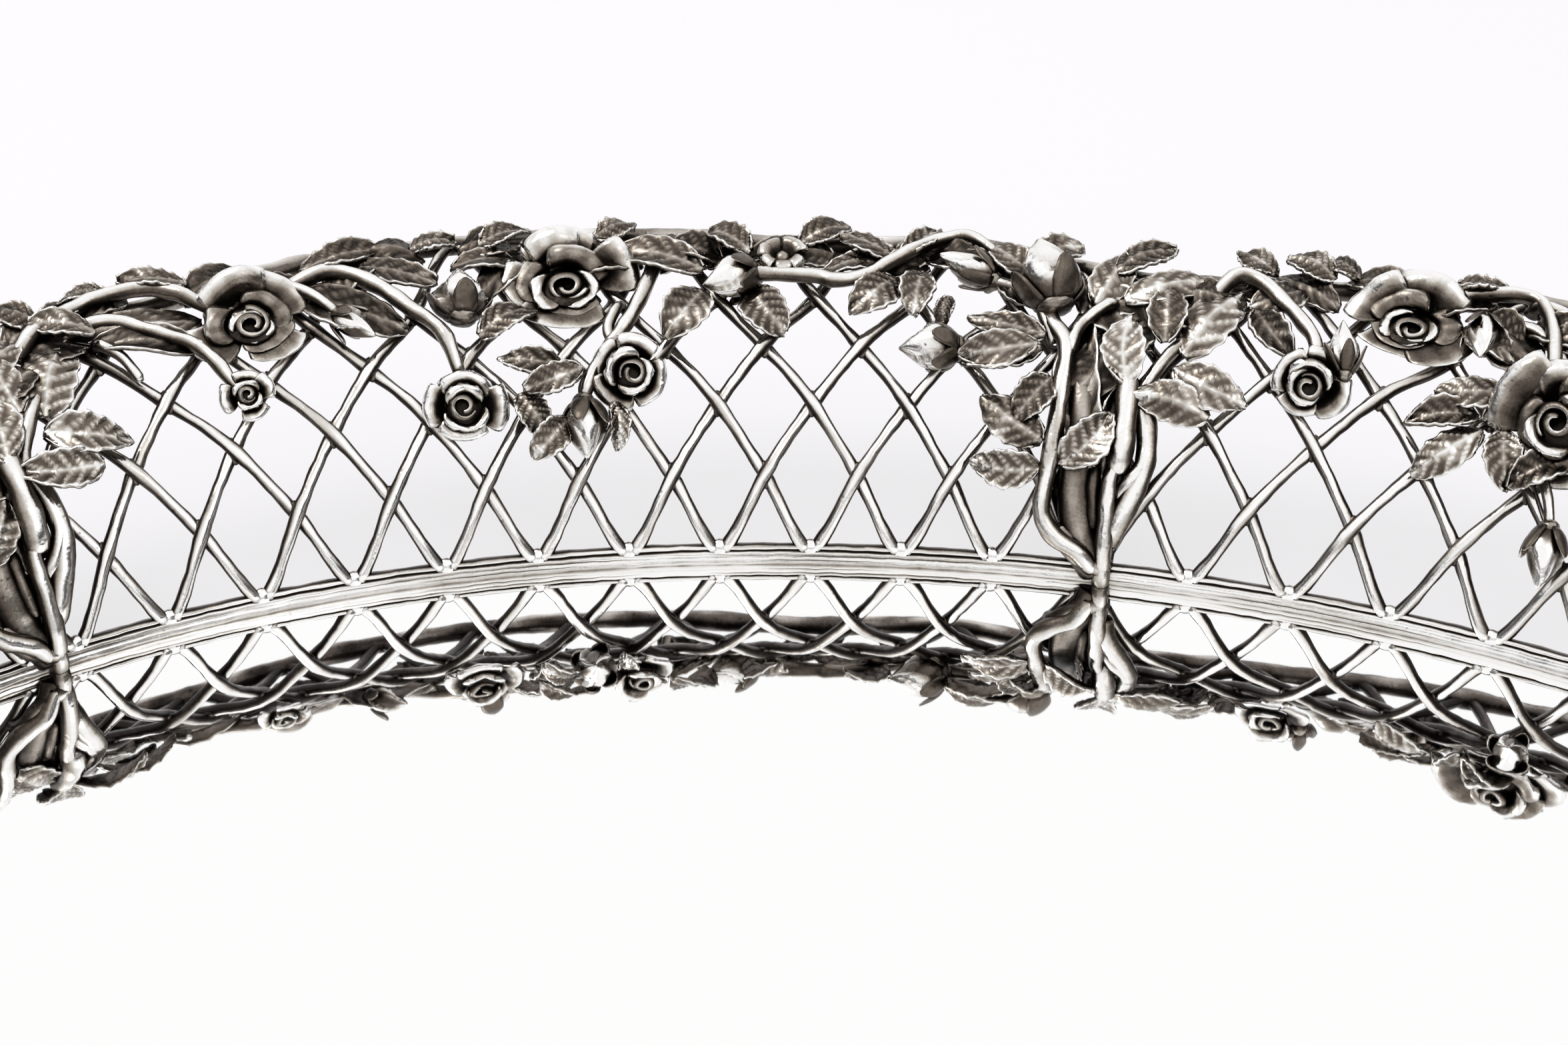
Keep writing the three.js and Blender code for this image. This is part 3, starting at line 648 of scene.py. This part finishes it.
def makeRose(s, angle, lift, radius, seed):
    luck = random.Random(seed)
    look = roseLooks["full" if radius > roseLooks["fullFrom"] else "cup"]
    casting = Casting()
    seat = Seat(s, angle, lift, 90)
    rise = math.degrees(math.asin(seat.axes[2][2]))  # it turns its face down, about its own middle
    up = roseLooks["middle"] * radius
    middle = seat.put(np.array([0, 0, up]))
    spin = luck.uniform(0, 360)
    seat.turn(max(0.0, rise - roseLooks["face"]) * roseLooks["turned"], spin)
    seat.point = middle - seat.axes[2] * up
    thick = roseLooks["thick"] * (0.6 + 0.06 * radius)
    rolledHeart(casting, seat, radius, look["heart"], thick, luck)
    turn = 0
    for ring in [dict(zip(ringParts, row)) for row in look["rings"]]:
        for i in range(ring["petals"]):
            luckyTurn = turn + 360 / ring["petals"] * (i + luck.uniform(-0.2, 0.2))
            petal(casting, seat, radius, luckyTurn, ring, thick, luck)
        turn += 180 / ring["petals"] + roseLooks["offset"]
    if "crown" in look:  # the big polished petal that rolls back over the rim
        crownTurn = luck.uniform(*roseLooks["crownTurn"]) - spin
        ring = dict(zip(ringParts, look["crown"]))
        petal(casting, seat, radius, crownTurn, ring, thick * roseLooks["crownThick"], luck)
    calyx = [share * radius for share in roseLooks["calyx"]]
    casting.blob(Seat(s, angle, lift + calyx[2], 90), calyx, 1.0)
    casting.lower(roseLooks["top"])
    layOnWires(casting, s, angle, radius)
    casting.lower(roseLooks["top"])
    return casting


rosePlans = [  # kind, radius, pitches along the layout, degrees up the bell
    [("large_rose", 8.3, 2.44, 65.4), ("small_rose", 3.8, 2.23, 47), ("left_rose", 6, 4.36, 38.2),
     ("grand_rose", 9.2, 5.51, 67.3), ("right_rose", 6, 6.1, 42.6)],
    [("left_rose", 6, 0.85, 48.7), ("grand_rose", 8.3, 1.6, 69.5), ("large_rose", 8.3, 3.14, 49),
     ("right_rose", 6, 5.1, 66), ("small_rose", 3.8, 5.9, 45)],
    [("large_rose", 8.3, 7.56, 65.4), ("small_rose", 3.8, 7.77, 47), ("left_rose", 6, 5.64, 38.2),
     ("grand_rose", 9.2, 4.4, 67.3), ("right_rose", 6, 3.9, 42.6)],
]


def liftOf(node, s, angle):  # how far off the wall a CAD node starts
    point, _, _, normal = wallAt(s, angle)
    corners = np.array([v.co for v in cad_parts[node].data.vertices]) * 1000
    return float(((corners - point) @ normal).min())


for section in sections:
    layout, start = layouts[(section - 1) % 3], startOf(section)
    for i, (kind, radius, at, angle) in enumerate(rosePlans[(section - 1) % 3]):
        s = start + (layout["lead"] + at) * sectionLength / layout["pitches"]
        node = f"{kind}_{section}"
        casting = makeRose(s, angle, liftOf(node, s, angle), radius, 10 * section + i)
        casting.make(f"{kind}_piece_{section}", flowerSilver, [node], "cast_flowers")
print("roses made")

leafLook = {
    "rows": 56, "backRows": 20, "behind": -0.09,  # a leaf with less than this for bright stands behind
    "columns": 15, "thick": 0.7, "lift": 2.9, "lifts": (-0.5, 0.9), "top": 81, "crest": 47.4,
    "root": 0.6, "point": 0.75, "teeth": 0.045, "swing": 0.08,
    "rise": 1.5, "tip": 0.9, "fold": 0.2, "folds": (-1.2, 2.4), "twist": 0.6, "ruffle": 0.5,
    "vein": 0.36, "veins": 5.4, "slant": 1.3, "rib": 0.35, "ribWide": 0.42, "edge": 0.2,
    "dull": (0.78, 0.98), "veinLight": (0.3, 0.58), "ribLight": 0.5, "edgeLight": 0.85,
    "wornLight": 0.3, "wornSize": 9.0, "back": 0.7,
}


def leaf(casting, root, tip, width, seed, bright=0.0, lift=None, look=leafLook):
    # root and tip are (s, angle). The blade stands off the wires, arches, and ends in a bent point.
    luck = random.Random(seed)
    if lift is None:
        lift = look["lift"] + luck.uniform(*look["lifts"])
    points, _, _, normals = wallAt([root[0], tip[0]], np.minimum([root[1], tip[1]], look["top"]), lift)
    along = points[1] - points[0]
    length = float(np.linalg.norm(along))
    ahead = along / length
    off = unit(normals.mean(0) - ahead * (normals.mean(0) @ ahead))
    side = np.cross(off, ahead)
    rows = look["rows"] if bright > look["behind"] else look["backRows"]
    x, y = grid(rows, look["columns"])  # from root to tip, and from side to side
    y = np.sin(y * math.pi / 2)  # closer at the edges
    aside = np.abs(y)
    teeth = np.sin(x * 31 + luck.uniform(0, 6) + 2 * np.sign(y)) * between(x, 0.08, 0.25)
    outline = np.clip(x, 0.01, 1) ** look["root"] * np.clip(1 - x, 0.004, 1) ** look["point"]
    half = width / 2 * 2.53 * outline * (1 + look["teeth"] * teeth) + 0.08  # 2.53 fills the width
    swing = luck.uniform(-look["swing"], look["swing"]) * length * np.sin(math.pi * x)
    bent = 0.25 * np.sin(5 * x + luck.uniform(0, 6))
    ridge = np.cos(2 * math.pi * (x * look["veins"] - aside * look["slant"] + bent))
    ridge = (0.5 + 0.5 * ridge) ** 5
    blade = np.sin(math.pi * np.clip(aside * 0.86 + 0.07, 0, 1)) ** 0.6  # no veins at the midrib and the edge
    midrib = np.exp(-(y * half / look["ribWide"]) ** 2)
    z = look["rise"] * np.sin(math.pi * x) ** 0.9 + luck.uniform(-look["tip"], look["tip"]) * x ** 3
    z = z + look["fold"] * luck.uniform(*look["folds"]) * aside * half
    z = z + look["twist"] * np.sin(2.2 * y + luck.uniform(0, 6)) * x
    z = z + look["ruffle"] * np.sin(5.5 * x + 1.5 * y + luck.uniform(0, 6)) * aside
    veinLight = luck.uniform(*look["veinLight"])
    z = z + look["vein"] * ridge * blade * between(x, 0, 0.1) + look["rib"] * midrib
    z = z + look["edge"] * between(aside, 0.82, 0.95)
    middle = points[0] + (x * length)[..., None] * ahead + (y * half + swing)[..., None] * side
    middle = middle + z[..., None] * off
    middle = middle - lowering(middle, look["crest"])
    shade = luck.uniform(*look["dull"]) - veinLight * ridge * blade - look["ribLight"] * midrib - bright
    shade = shade - look["edgeLight"] * between(aside, 0.86, 0.97)
    shade = shade - look["wornLight"] * between(uneven(middle, 1, look["wornSize"], seed), 0.3, 0.8)
    casting.sheet(middle, look["thick"], shade, back=look["back"])


stemLook = {
    "lift": 2.9, "dull": -0.05, "edge": 0.8, "uneven": (0.1, 6.0), "steps": 12, "stepAngle": 0.7,
    "sink": ([0, 0.12, 0.88, 1], [0.45, 1, 1, 0.75]),  # its ends bend to the wall
    "taper": ([0, 0.9, 1], [1.08, 0.95, 0.7]),
}


def stem(casting, route, thick, lift=stemLook["lift"], dull=stemLook["dull"], flat=1.0, look=stemLook):
    knots = np.array(route, float)
    travel = np.abs(np.diff(knots, axis=0)).sum(0)
    share = np.linspace(0, 1, max(look["steps"], int(travel[0] + look["stepAngle"] * travel[1])))
    line = curve(knots, share)
    points, _, _, off = wallAt(line[:, 0], line[:, 1], lift * np.interp(share, *look["sink"]))
    size = thick * (1 + uneven(points, *look["uneven"], 2.0)) * np.interp(share, *look["taper"])
    casting.rod(points, off, size, size * flat, dull, edge=look["edge"], seed=thick)


budLook = {
    "rows": 20, "columns": 30, "wraps": 3, "twist": 0.8, "inner": 0.78, "step": 0.32,
    "sepals": 4, "sepalThick": 0.5, "sepalLong": 0.5, "sepalWide": 0.6, "lift": 3.4, "tip": 8, "crest": 46.9,
    "dull": 0.7, "lipLight": 0.85, "faceHighlight": 0.75, "back": 0.7,
}


def bud(casting, root, turn, length, width, seed, lift=budLook["lift"], look=budLook):
    luck = random.Random(seed)
    seat = Seat(*root, lift, turn, look["tip"])
    x = np.linspace(0, 1, look["rows"])[:, None]
    t = 2 * math.pi * np.arange(look["columns"])[None] / look["columns"]
    low = np.clip(x * 0.93 + 0.06, 0, 1) ** 0.72  # fullest low down
    body = width / 2 * (np.sin(math.pi * low) ** 0.95 + 0.03)
    wrap = (t / (2 * math.pi) * look["wraps"] + look["twist"] * x + luck.random()) % 1.0
    reach = body * (look["inner"] + look["step"] * wrap)
    rings = np.stack([length * x + 0 * t, reach * np.cos(t), reach * np.sin(t)], -1)
    seat.point = seat.point - lowering(seat.put(rings), look["crest"])
    # A painted highlight on the side of the bud that faces into the tray.
    face = between(np.sin(t) + 0.3 * np.sin(9 * x + 2 * t), 0.2, 0.8) * between(x, 0.15, 0.4)
    shade = look["dull"] - look["lipLight"] * between(wrap, 0.5, 0.9) * between(x, 0.05, 0.3)
    casting.close(seat.put(rings), np.clip(shade - look["faceHighlight"] * face, 0, 1))
    v, u = grid(10, 7)
    far = np.interp(v[:, 0] * look["sepalLong"], x[:, 0], body[:, 0])[:, None] + 0.25 + 1.1 * v ** 3
    spread = u * (look["sepalWide"] * (1 - v) ** 0.7 + 0.06)
    for i in range(look["sepals"]):
        around = 2 * math.pi * (i + 0.5 * luck.random()) / look["sepals"] + spread
        middle = np.roll(ringed(far, around, length * look["sepalLong"] * v), 1, axis=-1)
        shade = 0.55 - 0.4 * v - 0.3 * between(np.abs(u), 0.7, 1)
        casting.sheet(seat.put(middle), look["sepalThick"], shade, back=look["back"])
    casting.blob(seat, (1.5, width * 0.3, width * 0.3), 0.4)


rosetteLook = {
    "tips": 7, "lift": 3.0, "rise": 55, "curls": (120, 190), "thick": 0.6, "step": 0.085, "wide": 0.5,
    "dull": 0.75, "tipLight": 0.7, "knob": (1.5, 1.5, 1.6), "knobLift": 4.0,
}


def rosette(casting, root, size, seed, look=rosetteLook):  # an open calyx with curled tips round a small knob
    luck = random.Random(seed)
    seat = Seat(*root, look["lift"], luck.uniform(0, 360))
    v, u = grid(12, 7)
    spread = u * (look["wide"] * (1 - v) ** 0.5 + 0.1)
    for i in range(look["tips"]):
        around = 2 * math.pi * (i + luck.uniform(-0.2, 0.2)) / look["tips"] + spread
        slope = math.radians(look["rise"]) - math.radians(luck.uniform(*look["curls"])) * between(v, 0.35, 1)
        rho = 0.6 + np.cumsum(np.cos(slope), axis=0) * size * look["step"]
        z = 0.4 + np.cumsum(np.sin(slope), axis=0) * size * look["step"]
        shade = look["dull"] - look["tipLight"] * between(v, 0.3, 0.7)
        casting.sheet(seat.put(ringed(rho, around, z)), look["thick"], shade)
    casting.blob(Seat(*root, look["knobLift"], 90), look["knob"], 0.35)


def grow(casting, section, plan, seed, mirror=False):
    # places are (mm from the start of the length, degrees up the bell); layout 3 is layout 1 end for end
    start = startOf(section)

    def at(place):
        return start + (sectionLength - place[0] if mirror else place[0]), place[1]

    for i, entry in enumerate(plan):
        kind, *rest = entry if isinstance(entry[0], str) else ("leaf", *entry)
        if kind == "stem":
            stem(casting, [at(place) for place in rest[0]], *rest[1:])
        elif kind == "leaf":
            root, tip, width, *more = rest
            leaf(casting, at(root), at(tip), width, seed + 31 * i, *more)
        elif kind == "bud":
            root, turn, length, width, *more = rest
            bud(casting, at(root), 180 - turn if mirror else turn, length, width, seed + 31 * i, *more)
        else:
            rosette(casting, at(rest[0]), rest[1], seed + 31 * i)


# What grows on a layout: ("stem", route, thick, lift, dull, flat), ("bud", root, turn, length, width, lift),
# ("rosette", root, size), and leaves as (root, tip, width, bright, lift). The last values may be left out.
budSprays = [
    [("stem", [(150.7, 56), (149, 50), (144, 48.8)], 1.1), ("bud", (144, 48.9), 187, 9.6, 7.6),
     ((156, 49.5), (144, 46.5), 6.2, 0.15, 5.5), ((157, 53), (145.2, 55.5), 5.5)],
    [("stem", [(62, 64), (57.3, 71), (52.4, 72), (49.6, 70)], 1.1), ("bud", (49.4, 71), -82, 10, 5.6),
     ((58, 68), (65, 72), 5.5), ("stem", [(62.5, 42), (64.7, 37.5), (66.2, 33), (67, 29)], 0.85),
     ("bud", (66.9, 30), -84, 9.6, 5.6), ("bud", (32.4, 52), 102, 9, 4.6, 4.4)],
]
rimSprays = [
    [("stem", [(108, 62), (112, 64.5), (121.9, 64), (124.9, 63), (128.8, 64), (133, 68), (137.3, 73),
              (141.1, 76), (144.6, 77), (149.5, 72)], 1.2, 4.6), ("bud", (113.2, 66), 205, 9.6, 7.2),
     ("rosette", (117.2, 69), 6), ((133.8, 65), (127.6, 55.5), 7.4), ((132.9, 70), (122.4, 65.5), 5),
     ((134.1, 71), (125.6, 77), 5.2), ((134.7, 71), (140, 80), 4.8), ((137.9, 67), (137, 55.5), 5.8)],
    [("stem", [(120, 66), (128, 64), (136, 66), (142.3, 71)], 1.2, 4.2),
     ("bud", (121.5, 65.8), 200, 8.5, 6.4), ((135, 66), (141, 59), 6), ((128, 64.5), (120, 72), 6),
     ((124, 65), (130, 58), 5.5)],
]
rimGrowths = [
    [("stem", [(8.5, 67), (11.4, 70), (14.9, 72), (19.2, 75), (22.8, 76), (27.1, 76), (31.2, 73),
              (35, 68)], 1.35, 4.4),
     ("stem", [(14.5, 69), (19.3, 70), (22.4, 69), (25.4, 66), (28.3, 63), (31.3, 60), (33.6, 55),
              (35.5, 49)], 1.25, 3.6), ("stem", [(18.5, 66), (21.4, 61), (22.8, 55)], 0.95),
     ((33.5, 67), (14.5, 71.5), 8, -0.1, 1.6), ((32, 60), (17.8, 66), 6.2, -0.1, 1.8),
     ((23, 78), (16, 78), 4.6), ((33, 76), (24.6, 81), 5), ((18.8, 66), (11, 71.5), 5, 0.1, 4.6),
     ((12.5, 73), (6.5, 80), 5.5),
     ("stem", [(44, 70.5), (51.4, 73), (55.3, 71), (59.2, 66), (62.2, 61), (65.1, 57), (66.8, 53),
              (68, 46)], 1.35, 4.2), ("stem", [(45, 71), (48.9, 67), (52, 61.5)], 0.95, 4.4),
     ("bud", (51.6, 62), -48, 8.4, 4.6), ((47.5, 70), (61.5, 57), 9, -0.1, 1.8),
     ((48.5, 75), (59.5, 80), 5.6), ((55.4, 75), (67, 69), 6.4), ("bud", (69.7, 58), 88, 9, 8.6),
     ((71.7, 53), (80.6, 58.5), 5.4), ((66, 66), (74, 60), 6, -0.1, 1.8), ((83.7, 45), (74, 47.5), 4.8),
     ((86.5, 44), (77.3, 40.5), 5, 0.1, 4.4), ((76.8, 40), (80.2, 30.5), 5),
     ((83.7, 34), (77.8, 26.5), 5.4, 0.1), ((91.5, 37.5), (91.3, 27), 3.2),
     ("bud", (86.4, 37.5), -90, 10, 6.6),
     ("stem", [(99.5, 76), (98, 67), (95.3, 58), (92.6, 52), (89.9, 47), (87.5, 42),
              (86.2, 37)], 1.25, 3.4), ("stem", [(93, 60), (91, 53), (93.5, 46)], 1.0, 2.8),
     ((105.5, 67), (93, 73.5), 7.6, 0.1), ((105.7, 68), (98, 79), 7), ((112.5, 72), (106.5, 79), 6),
     ((73.5, 77), (81, 87), 5), ((105.6, 61), (99.4, 49.5), 7.6), ((112.2, 62), (117.8, 51.5), 7.6),
     ("bud", (148.5, 66), 158, 10.4, 5.2),
     ("stem", [(147.5, 66), (152.2, 64), (155.4, 61), (158.3, 52)], 1.15, 3.2),
     ((142.4, 60), (141.4, 53.5), 3), ((64, 78), (70.5, 84), 5), ((90, 78), (96, 88), 5.4),
     ((119.5, 75), (127, 81), 5), ((154, 70), (161, 77), 6), ((149, 68), (156.5, 62), 6, -0.1, 2)],
    [("stem", [(11.5, 68), (14.7, 72), (17.7, 71), (21, 67), (24.1, 63), (27.2, 58), (28.4, 53)], 1.3, 4.6),
     ("stem", [(42.5, 73), (49.2, 78), (55, 79), (58.5, 72), (60.5, 63), (61, 57)], 1.25, 4.4),
     ("stem", [(54.8, 78), (59.9, 76), (66, 72)], 1.1, 4.2), ((19.5, 75), (13.6, 79), 5.4),
     ((27.8, 75), (20.6, 79), 5.4), ((17.6, 65), (24.5, 54.5), 5.6), ((49, 76), (59.5, 60.5), 9, -0.1, 1.8),
     ((47, 70), (55, 62), 6, -0.1, 1.8), ((56.3, 54), (45.8, 51), 5.6), ((52.6, 48.5), (42.6, 44), 5),
     ((53.6, 46), (45.2, 34.5), 6, 0.15), ((56.6, 46.5), (59.2, 35), 6), ((67, 43), (59.5, 35.5), 5.6),
     ((70, 60), (78, 67), 6), ((67, 66), (74, 74), 6.5), ((44, 79), (51, 88), 5), ((31, 78), (26, 86), 5),
     ("stem", [(70, 76), (78, 80), (86, 77), (92, 70), (95, 66)], 1.2, 4.4), ((80, 79), (73, 86), 5.5),
     ((88, 75), (81, 68), 6.5), ((92, 71), (100, 78), 6), ((99, 62), (108, 56), 6), ((97, 58), (90, 50), 6),
     ("stem", [(101, 68), (106, 62), (108.4, 50)], 1.15, 3.6), ((107, 56), (115, 50), 5.5),
     ((105, 74), (113, 80), 6), ("bud", (112, 71), 20, 9, 6.8), ((125, 72), (118, 80), 6),
     ((133, 71), (140, 79), 6), ((145, 72), (152, 65), 6.5), ((149, 75), (156, 82), 6),
     ((150, 66), (157, 58), 6, -0.1), ("stem", [(142, 72), (150, 74), (157, 66), (159, 56)], 1.2, 3.6)],
]
backLeaves = {  # the low leaves behind, close along the rim
    "count": 30, "spread": 0.4, "long": (6, 10), "tips": (63, 80), "roots": (68, 78), "wide": (5, 7.5),
    "bright": -0.1, "lifts": (1.0, 2.2), "clear": 1,
}


def addBackLeaves(casting, section, look):
    luck, start = random.Random(section), startOf(section)
    for i in range(look["count"]):
        share = (i + 0.5 + luck.uniform(-look["spread"], look["spread"])) / look["count"]
        s = start + sectionLength * share
        tip = (s + luck.choice([-1, 1]) * luck.uniform(*look["long"]), luck.uniform(*look["tips"]))
        if start + look["clear"] < tip[0] < startOf(section + 1) - look["clear"]:
            root, width = (s, luck.uniform(*look["roots"])), luck.uniform(*look["wide"])
            leaf(casting, root, tip, width, 500 * section + i, look["bright"], luck.uniform(*look["lifts"]))


for section in sections:
    which, mirror = (1 if section % 3 == 2 else 0), section % 3 == 0
    for kind, plans in (("bud_spray", budSprays), ("rim_spray", rimSprays)):
        casting = Casting()
        grow(casting, section, plans[which], section * 100, mirror)
        casting.make(f"{kind}_piece_{section}", flowerSilver, [f"{kind}_{section}"], "cast_flowers")
    casting = Casting()
    grow(casting, section, rimGrowths[which], section * 77, mirror)
    addBackLeaves(casting, section, backLeaves)
    casting.make(f"rim_growth_{section}", flowerSilver, [], "cast_flowers")

trunkPlan = [
    ("stem", [(-1.5, 4.5), (-3.8, 8.3), (-7.9, 11.5), (-10.2, 16.5), (-9.8, 24), (-9.2, 33), (-9, 42),
             (-8.9, 51.1), (-11.2, 56), (-12.6, 61)], 1.45, 3.6),
    ("stem", [(-8.8, 48), (-7.6, 55), (-5.5, 59), (-2.6, 63)], 1.2, 3.6),
    ("stem", [(0.15, 0.6), (0.15, 4), (0.2, 9), (0.3, 16)], 1.4, 1.6, -0.1),
    ("stem", [(0.2, 4.5), (0.3, 15.9), (0.2, 24), (1.3, 33), (1.0, 44.5)], 1.4, 3.2),
    ("stem", [(1.1, 26), (1.5, 33), (1.4, 40), (1.0, 46)], 1.9, 4.2, -0.05, 0.8),
    ("stem", [(-0.6, 3.5), (-2.4, 7.5), (-4.4, 13), (-5.4, 22), (-5.2, 34),
             (-6.2, 48)], 2.7, 1.8, 0.36, 0.45),
    ("stem", [(-7.4, 12.5), (-4.6, 8), (-1.6, 5.5), (0.6, 4.5)], 1.7, 2.2, 0.1, 0.7),
    ("stem", [(0.9, 20), (3.8, 25.2), (5, 29.6), (4.7, 35), (3.4, 42), (5.4, 48.9), (9, 57)], 1.2, 3.2),
    ("stem", [(0.8, 11), (2.6, 17), (4.6, 24), (5.3, 30), (4.6, 37), (3.2, 43)], 1.75, 3.0, -0.05, 0.8),
    ("stem", [(-2.5, 27), (-2.3, 20), (-1.7, 13.5)], 1.15, 2.0, 0.6), ((-3, 26), (-6.5, 62), 7.5, 0.1, 2.0),
    ((-1, 22), (0.5, 46), 4, 0, 1.6), ((0.9, 43), (0.2, 58), 7, 0.25, 4.6),
    ((-5.5, 62.1), (-2.3, 76), 7, 0.15), ((-1.2, 63.1), (10, 70.5), 6.6, 0.15),
    ((5.7, 53.5), (4.9, 67), 6.4, 0.15), ((8.7, 51.5), (15.6, 68.5), 8.6, 0.2),
    ((7.6, 48), (19.2, 42.3), 7, 0.2), ((13.9, 38.5), (1.8, 41.3), 6.8, 0.15, 4),
    ((-7.9, 26), (-0.7, 37.4), 7, 0.15), ((-11, 30.5), (-21, 38.8), 7.2, 0.1),
    ((-11, 25.2), (-22, 25.5), 6.2, 0.25), ((-12.6, 50), (-24.6, 44.7), 6.2, 0.05),
    ((-8, 40), (-1, 58.5), 9, -0.1, 1.3), ((-10.7, 44), (-15.6, 34), 6, -0.05),
    ((-2, 48), (4, 60), 7, -0.1, 1.4), ((-9, 62), (-16, 70), 7, -0.1, 1.6),
    ((3, 58), (10, 62), 6, -0.1, 1.6), ((-14, 66), (-22, 76), 5.6), ((-3, 70), (5, 79), 6),
    ("bud", (-11.2, 60), 108, 13, 10.4, 4.4), ((-5.2, 10), (-4.6, 60), 11, 0.1, 0.9),
    ((0, 62), (-4, 20), 8, 0.05, 0.7), ((-8, 66), (4, 66), 10, 0.0, 0.9), ((-9, 70), (4, 52), 9, 0.0, 0.8),
]
for section in sections:
    casting = Casting()
    grow(casting, section, trunkPlan, section * 50)
    casting.make(f"trunk_piece_{section}", flowerSilver, [f"trunk_spray_{section}"], "cast_gallery")
print("stems, leaves and buds made")

studio = {
    "table": 5.0, "tableColour": (0.92, 0.872, 0.94, 1), "rough": 0.9, "sheen": 0.1, "glow": 0.66,
    "world": 0.85, "dark": 0.92,
    "boardWay": (-0.985, -0.17, 0.0), "boards": 0.52, "boardTop": 0.44, "boardEdge": 5.0,
    "lamps": [("key", 2.2, (-0.5, 0.1, 0.9), 0.5), ("fill", 0.8, (0.7, -0.3, 0.8), 0.8)], "aim": (0, 0.1, 0),
}
rayKinds = ("Is Camera Ray", "Is Glossy Ray", "Is Transmission Ray")


def setTable(look):
    half = look["table"] / 2
    corners = [(x * half, y * half, 0) for x, y in ((-1, -1), (1, -1), (1, 1), (-1, 1))]
    mesh = bpy.data.meshes.new("table")
    mesh.from_pydata(corners, [], [[0, 1, 2, 3]])
    material, r = newMaterial("table")
    shader = r.add("BsdfPrincipled", inputs={
        "Base Color": look["tableColour"], "Roughness": look["rough"], "Specular IOR Level": look["sheen"]})
    seen = sum(r.add("LightPath", out=kind) for kind in rayKinds).clamp()
    glow = r.add("Emission", inputs={"Color": (1, 1, 1, 1), "Strength": 1.0})
    both = r.add("MixShader", inputs={0: seen * look["glow"], 1: shader, 2: glow})
    r.add("OutputMaterial", inputs={"Surface": both})
    mesh.materials.append(material)
    table = addThing("table", mesh)


def setWorld(look):  # white, but metal sees dark boards to the left and right of the table
    world = bpy.data.worlds.new("studio")
    world.use_nodes = True
    bpy.context.scene.world = world
    w = Recipe(world.node_tree)
    rays = [w.add("LightPath", out=kind) for kind in rayKinds]
    white = sum(rays).clamp()
    way = w.add("TexCoord", out=0)
    left = w.add("VectorMath", {"operation": "DOT_PRODUCT"}, {0: way, 1: look["boardWay"]}, out=1)
    height = w.add("VectorMath", {"operation": "DOT_PRODUCT"}, {0: way, 1: (0.0, 0.0, 1.0)}, out=1)
    aside = w.add("Math", {"operation": "ABSOLUTE"}, {0: left})
    room = ((aside - look["boards"]) * look["boardEdge"]).clamp()
    room = room * ((look["boardTop"] - height) * look["boardEdge"]).clamp() * rays[1]
    strength = look["world"] + white * (1.0 - look["world"]) - room * look["dark"]
    back = w.add("Background", inputs={"Color": (1, 1, 1, 1), "Strength": strength})
    w.add("OutputWorld", inputs={"Surface": back})


def setLamps(look):
    for name, power, place, size in look["lamps"]:
        data = bpy.data.lights.new(name, "AREA")
        data.energy, data.size = power, size
        lamp = addThing(name, data)
        lamp.location = place
        lamp.rotation_euler = (Vector(look["aim"]) - Vector(place)).to_track_quat("-Z", "Y").to_euler()


setTable(studio)
setWorld(studio)
setLamps(studio)
bpy.context.scene.view_settings.view_transform = "Standard"

print("scene ready")
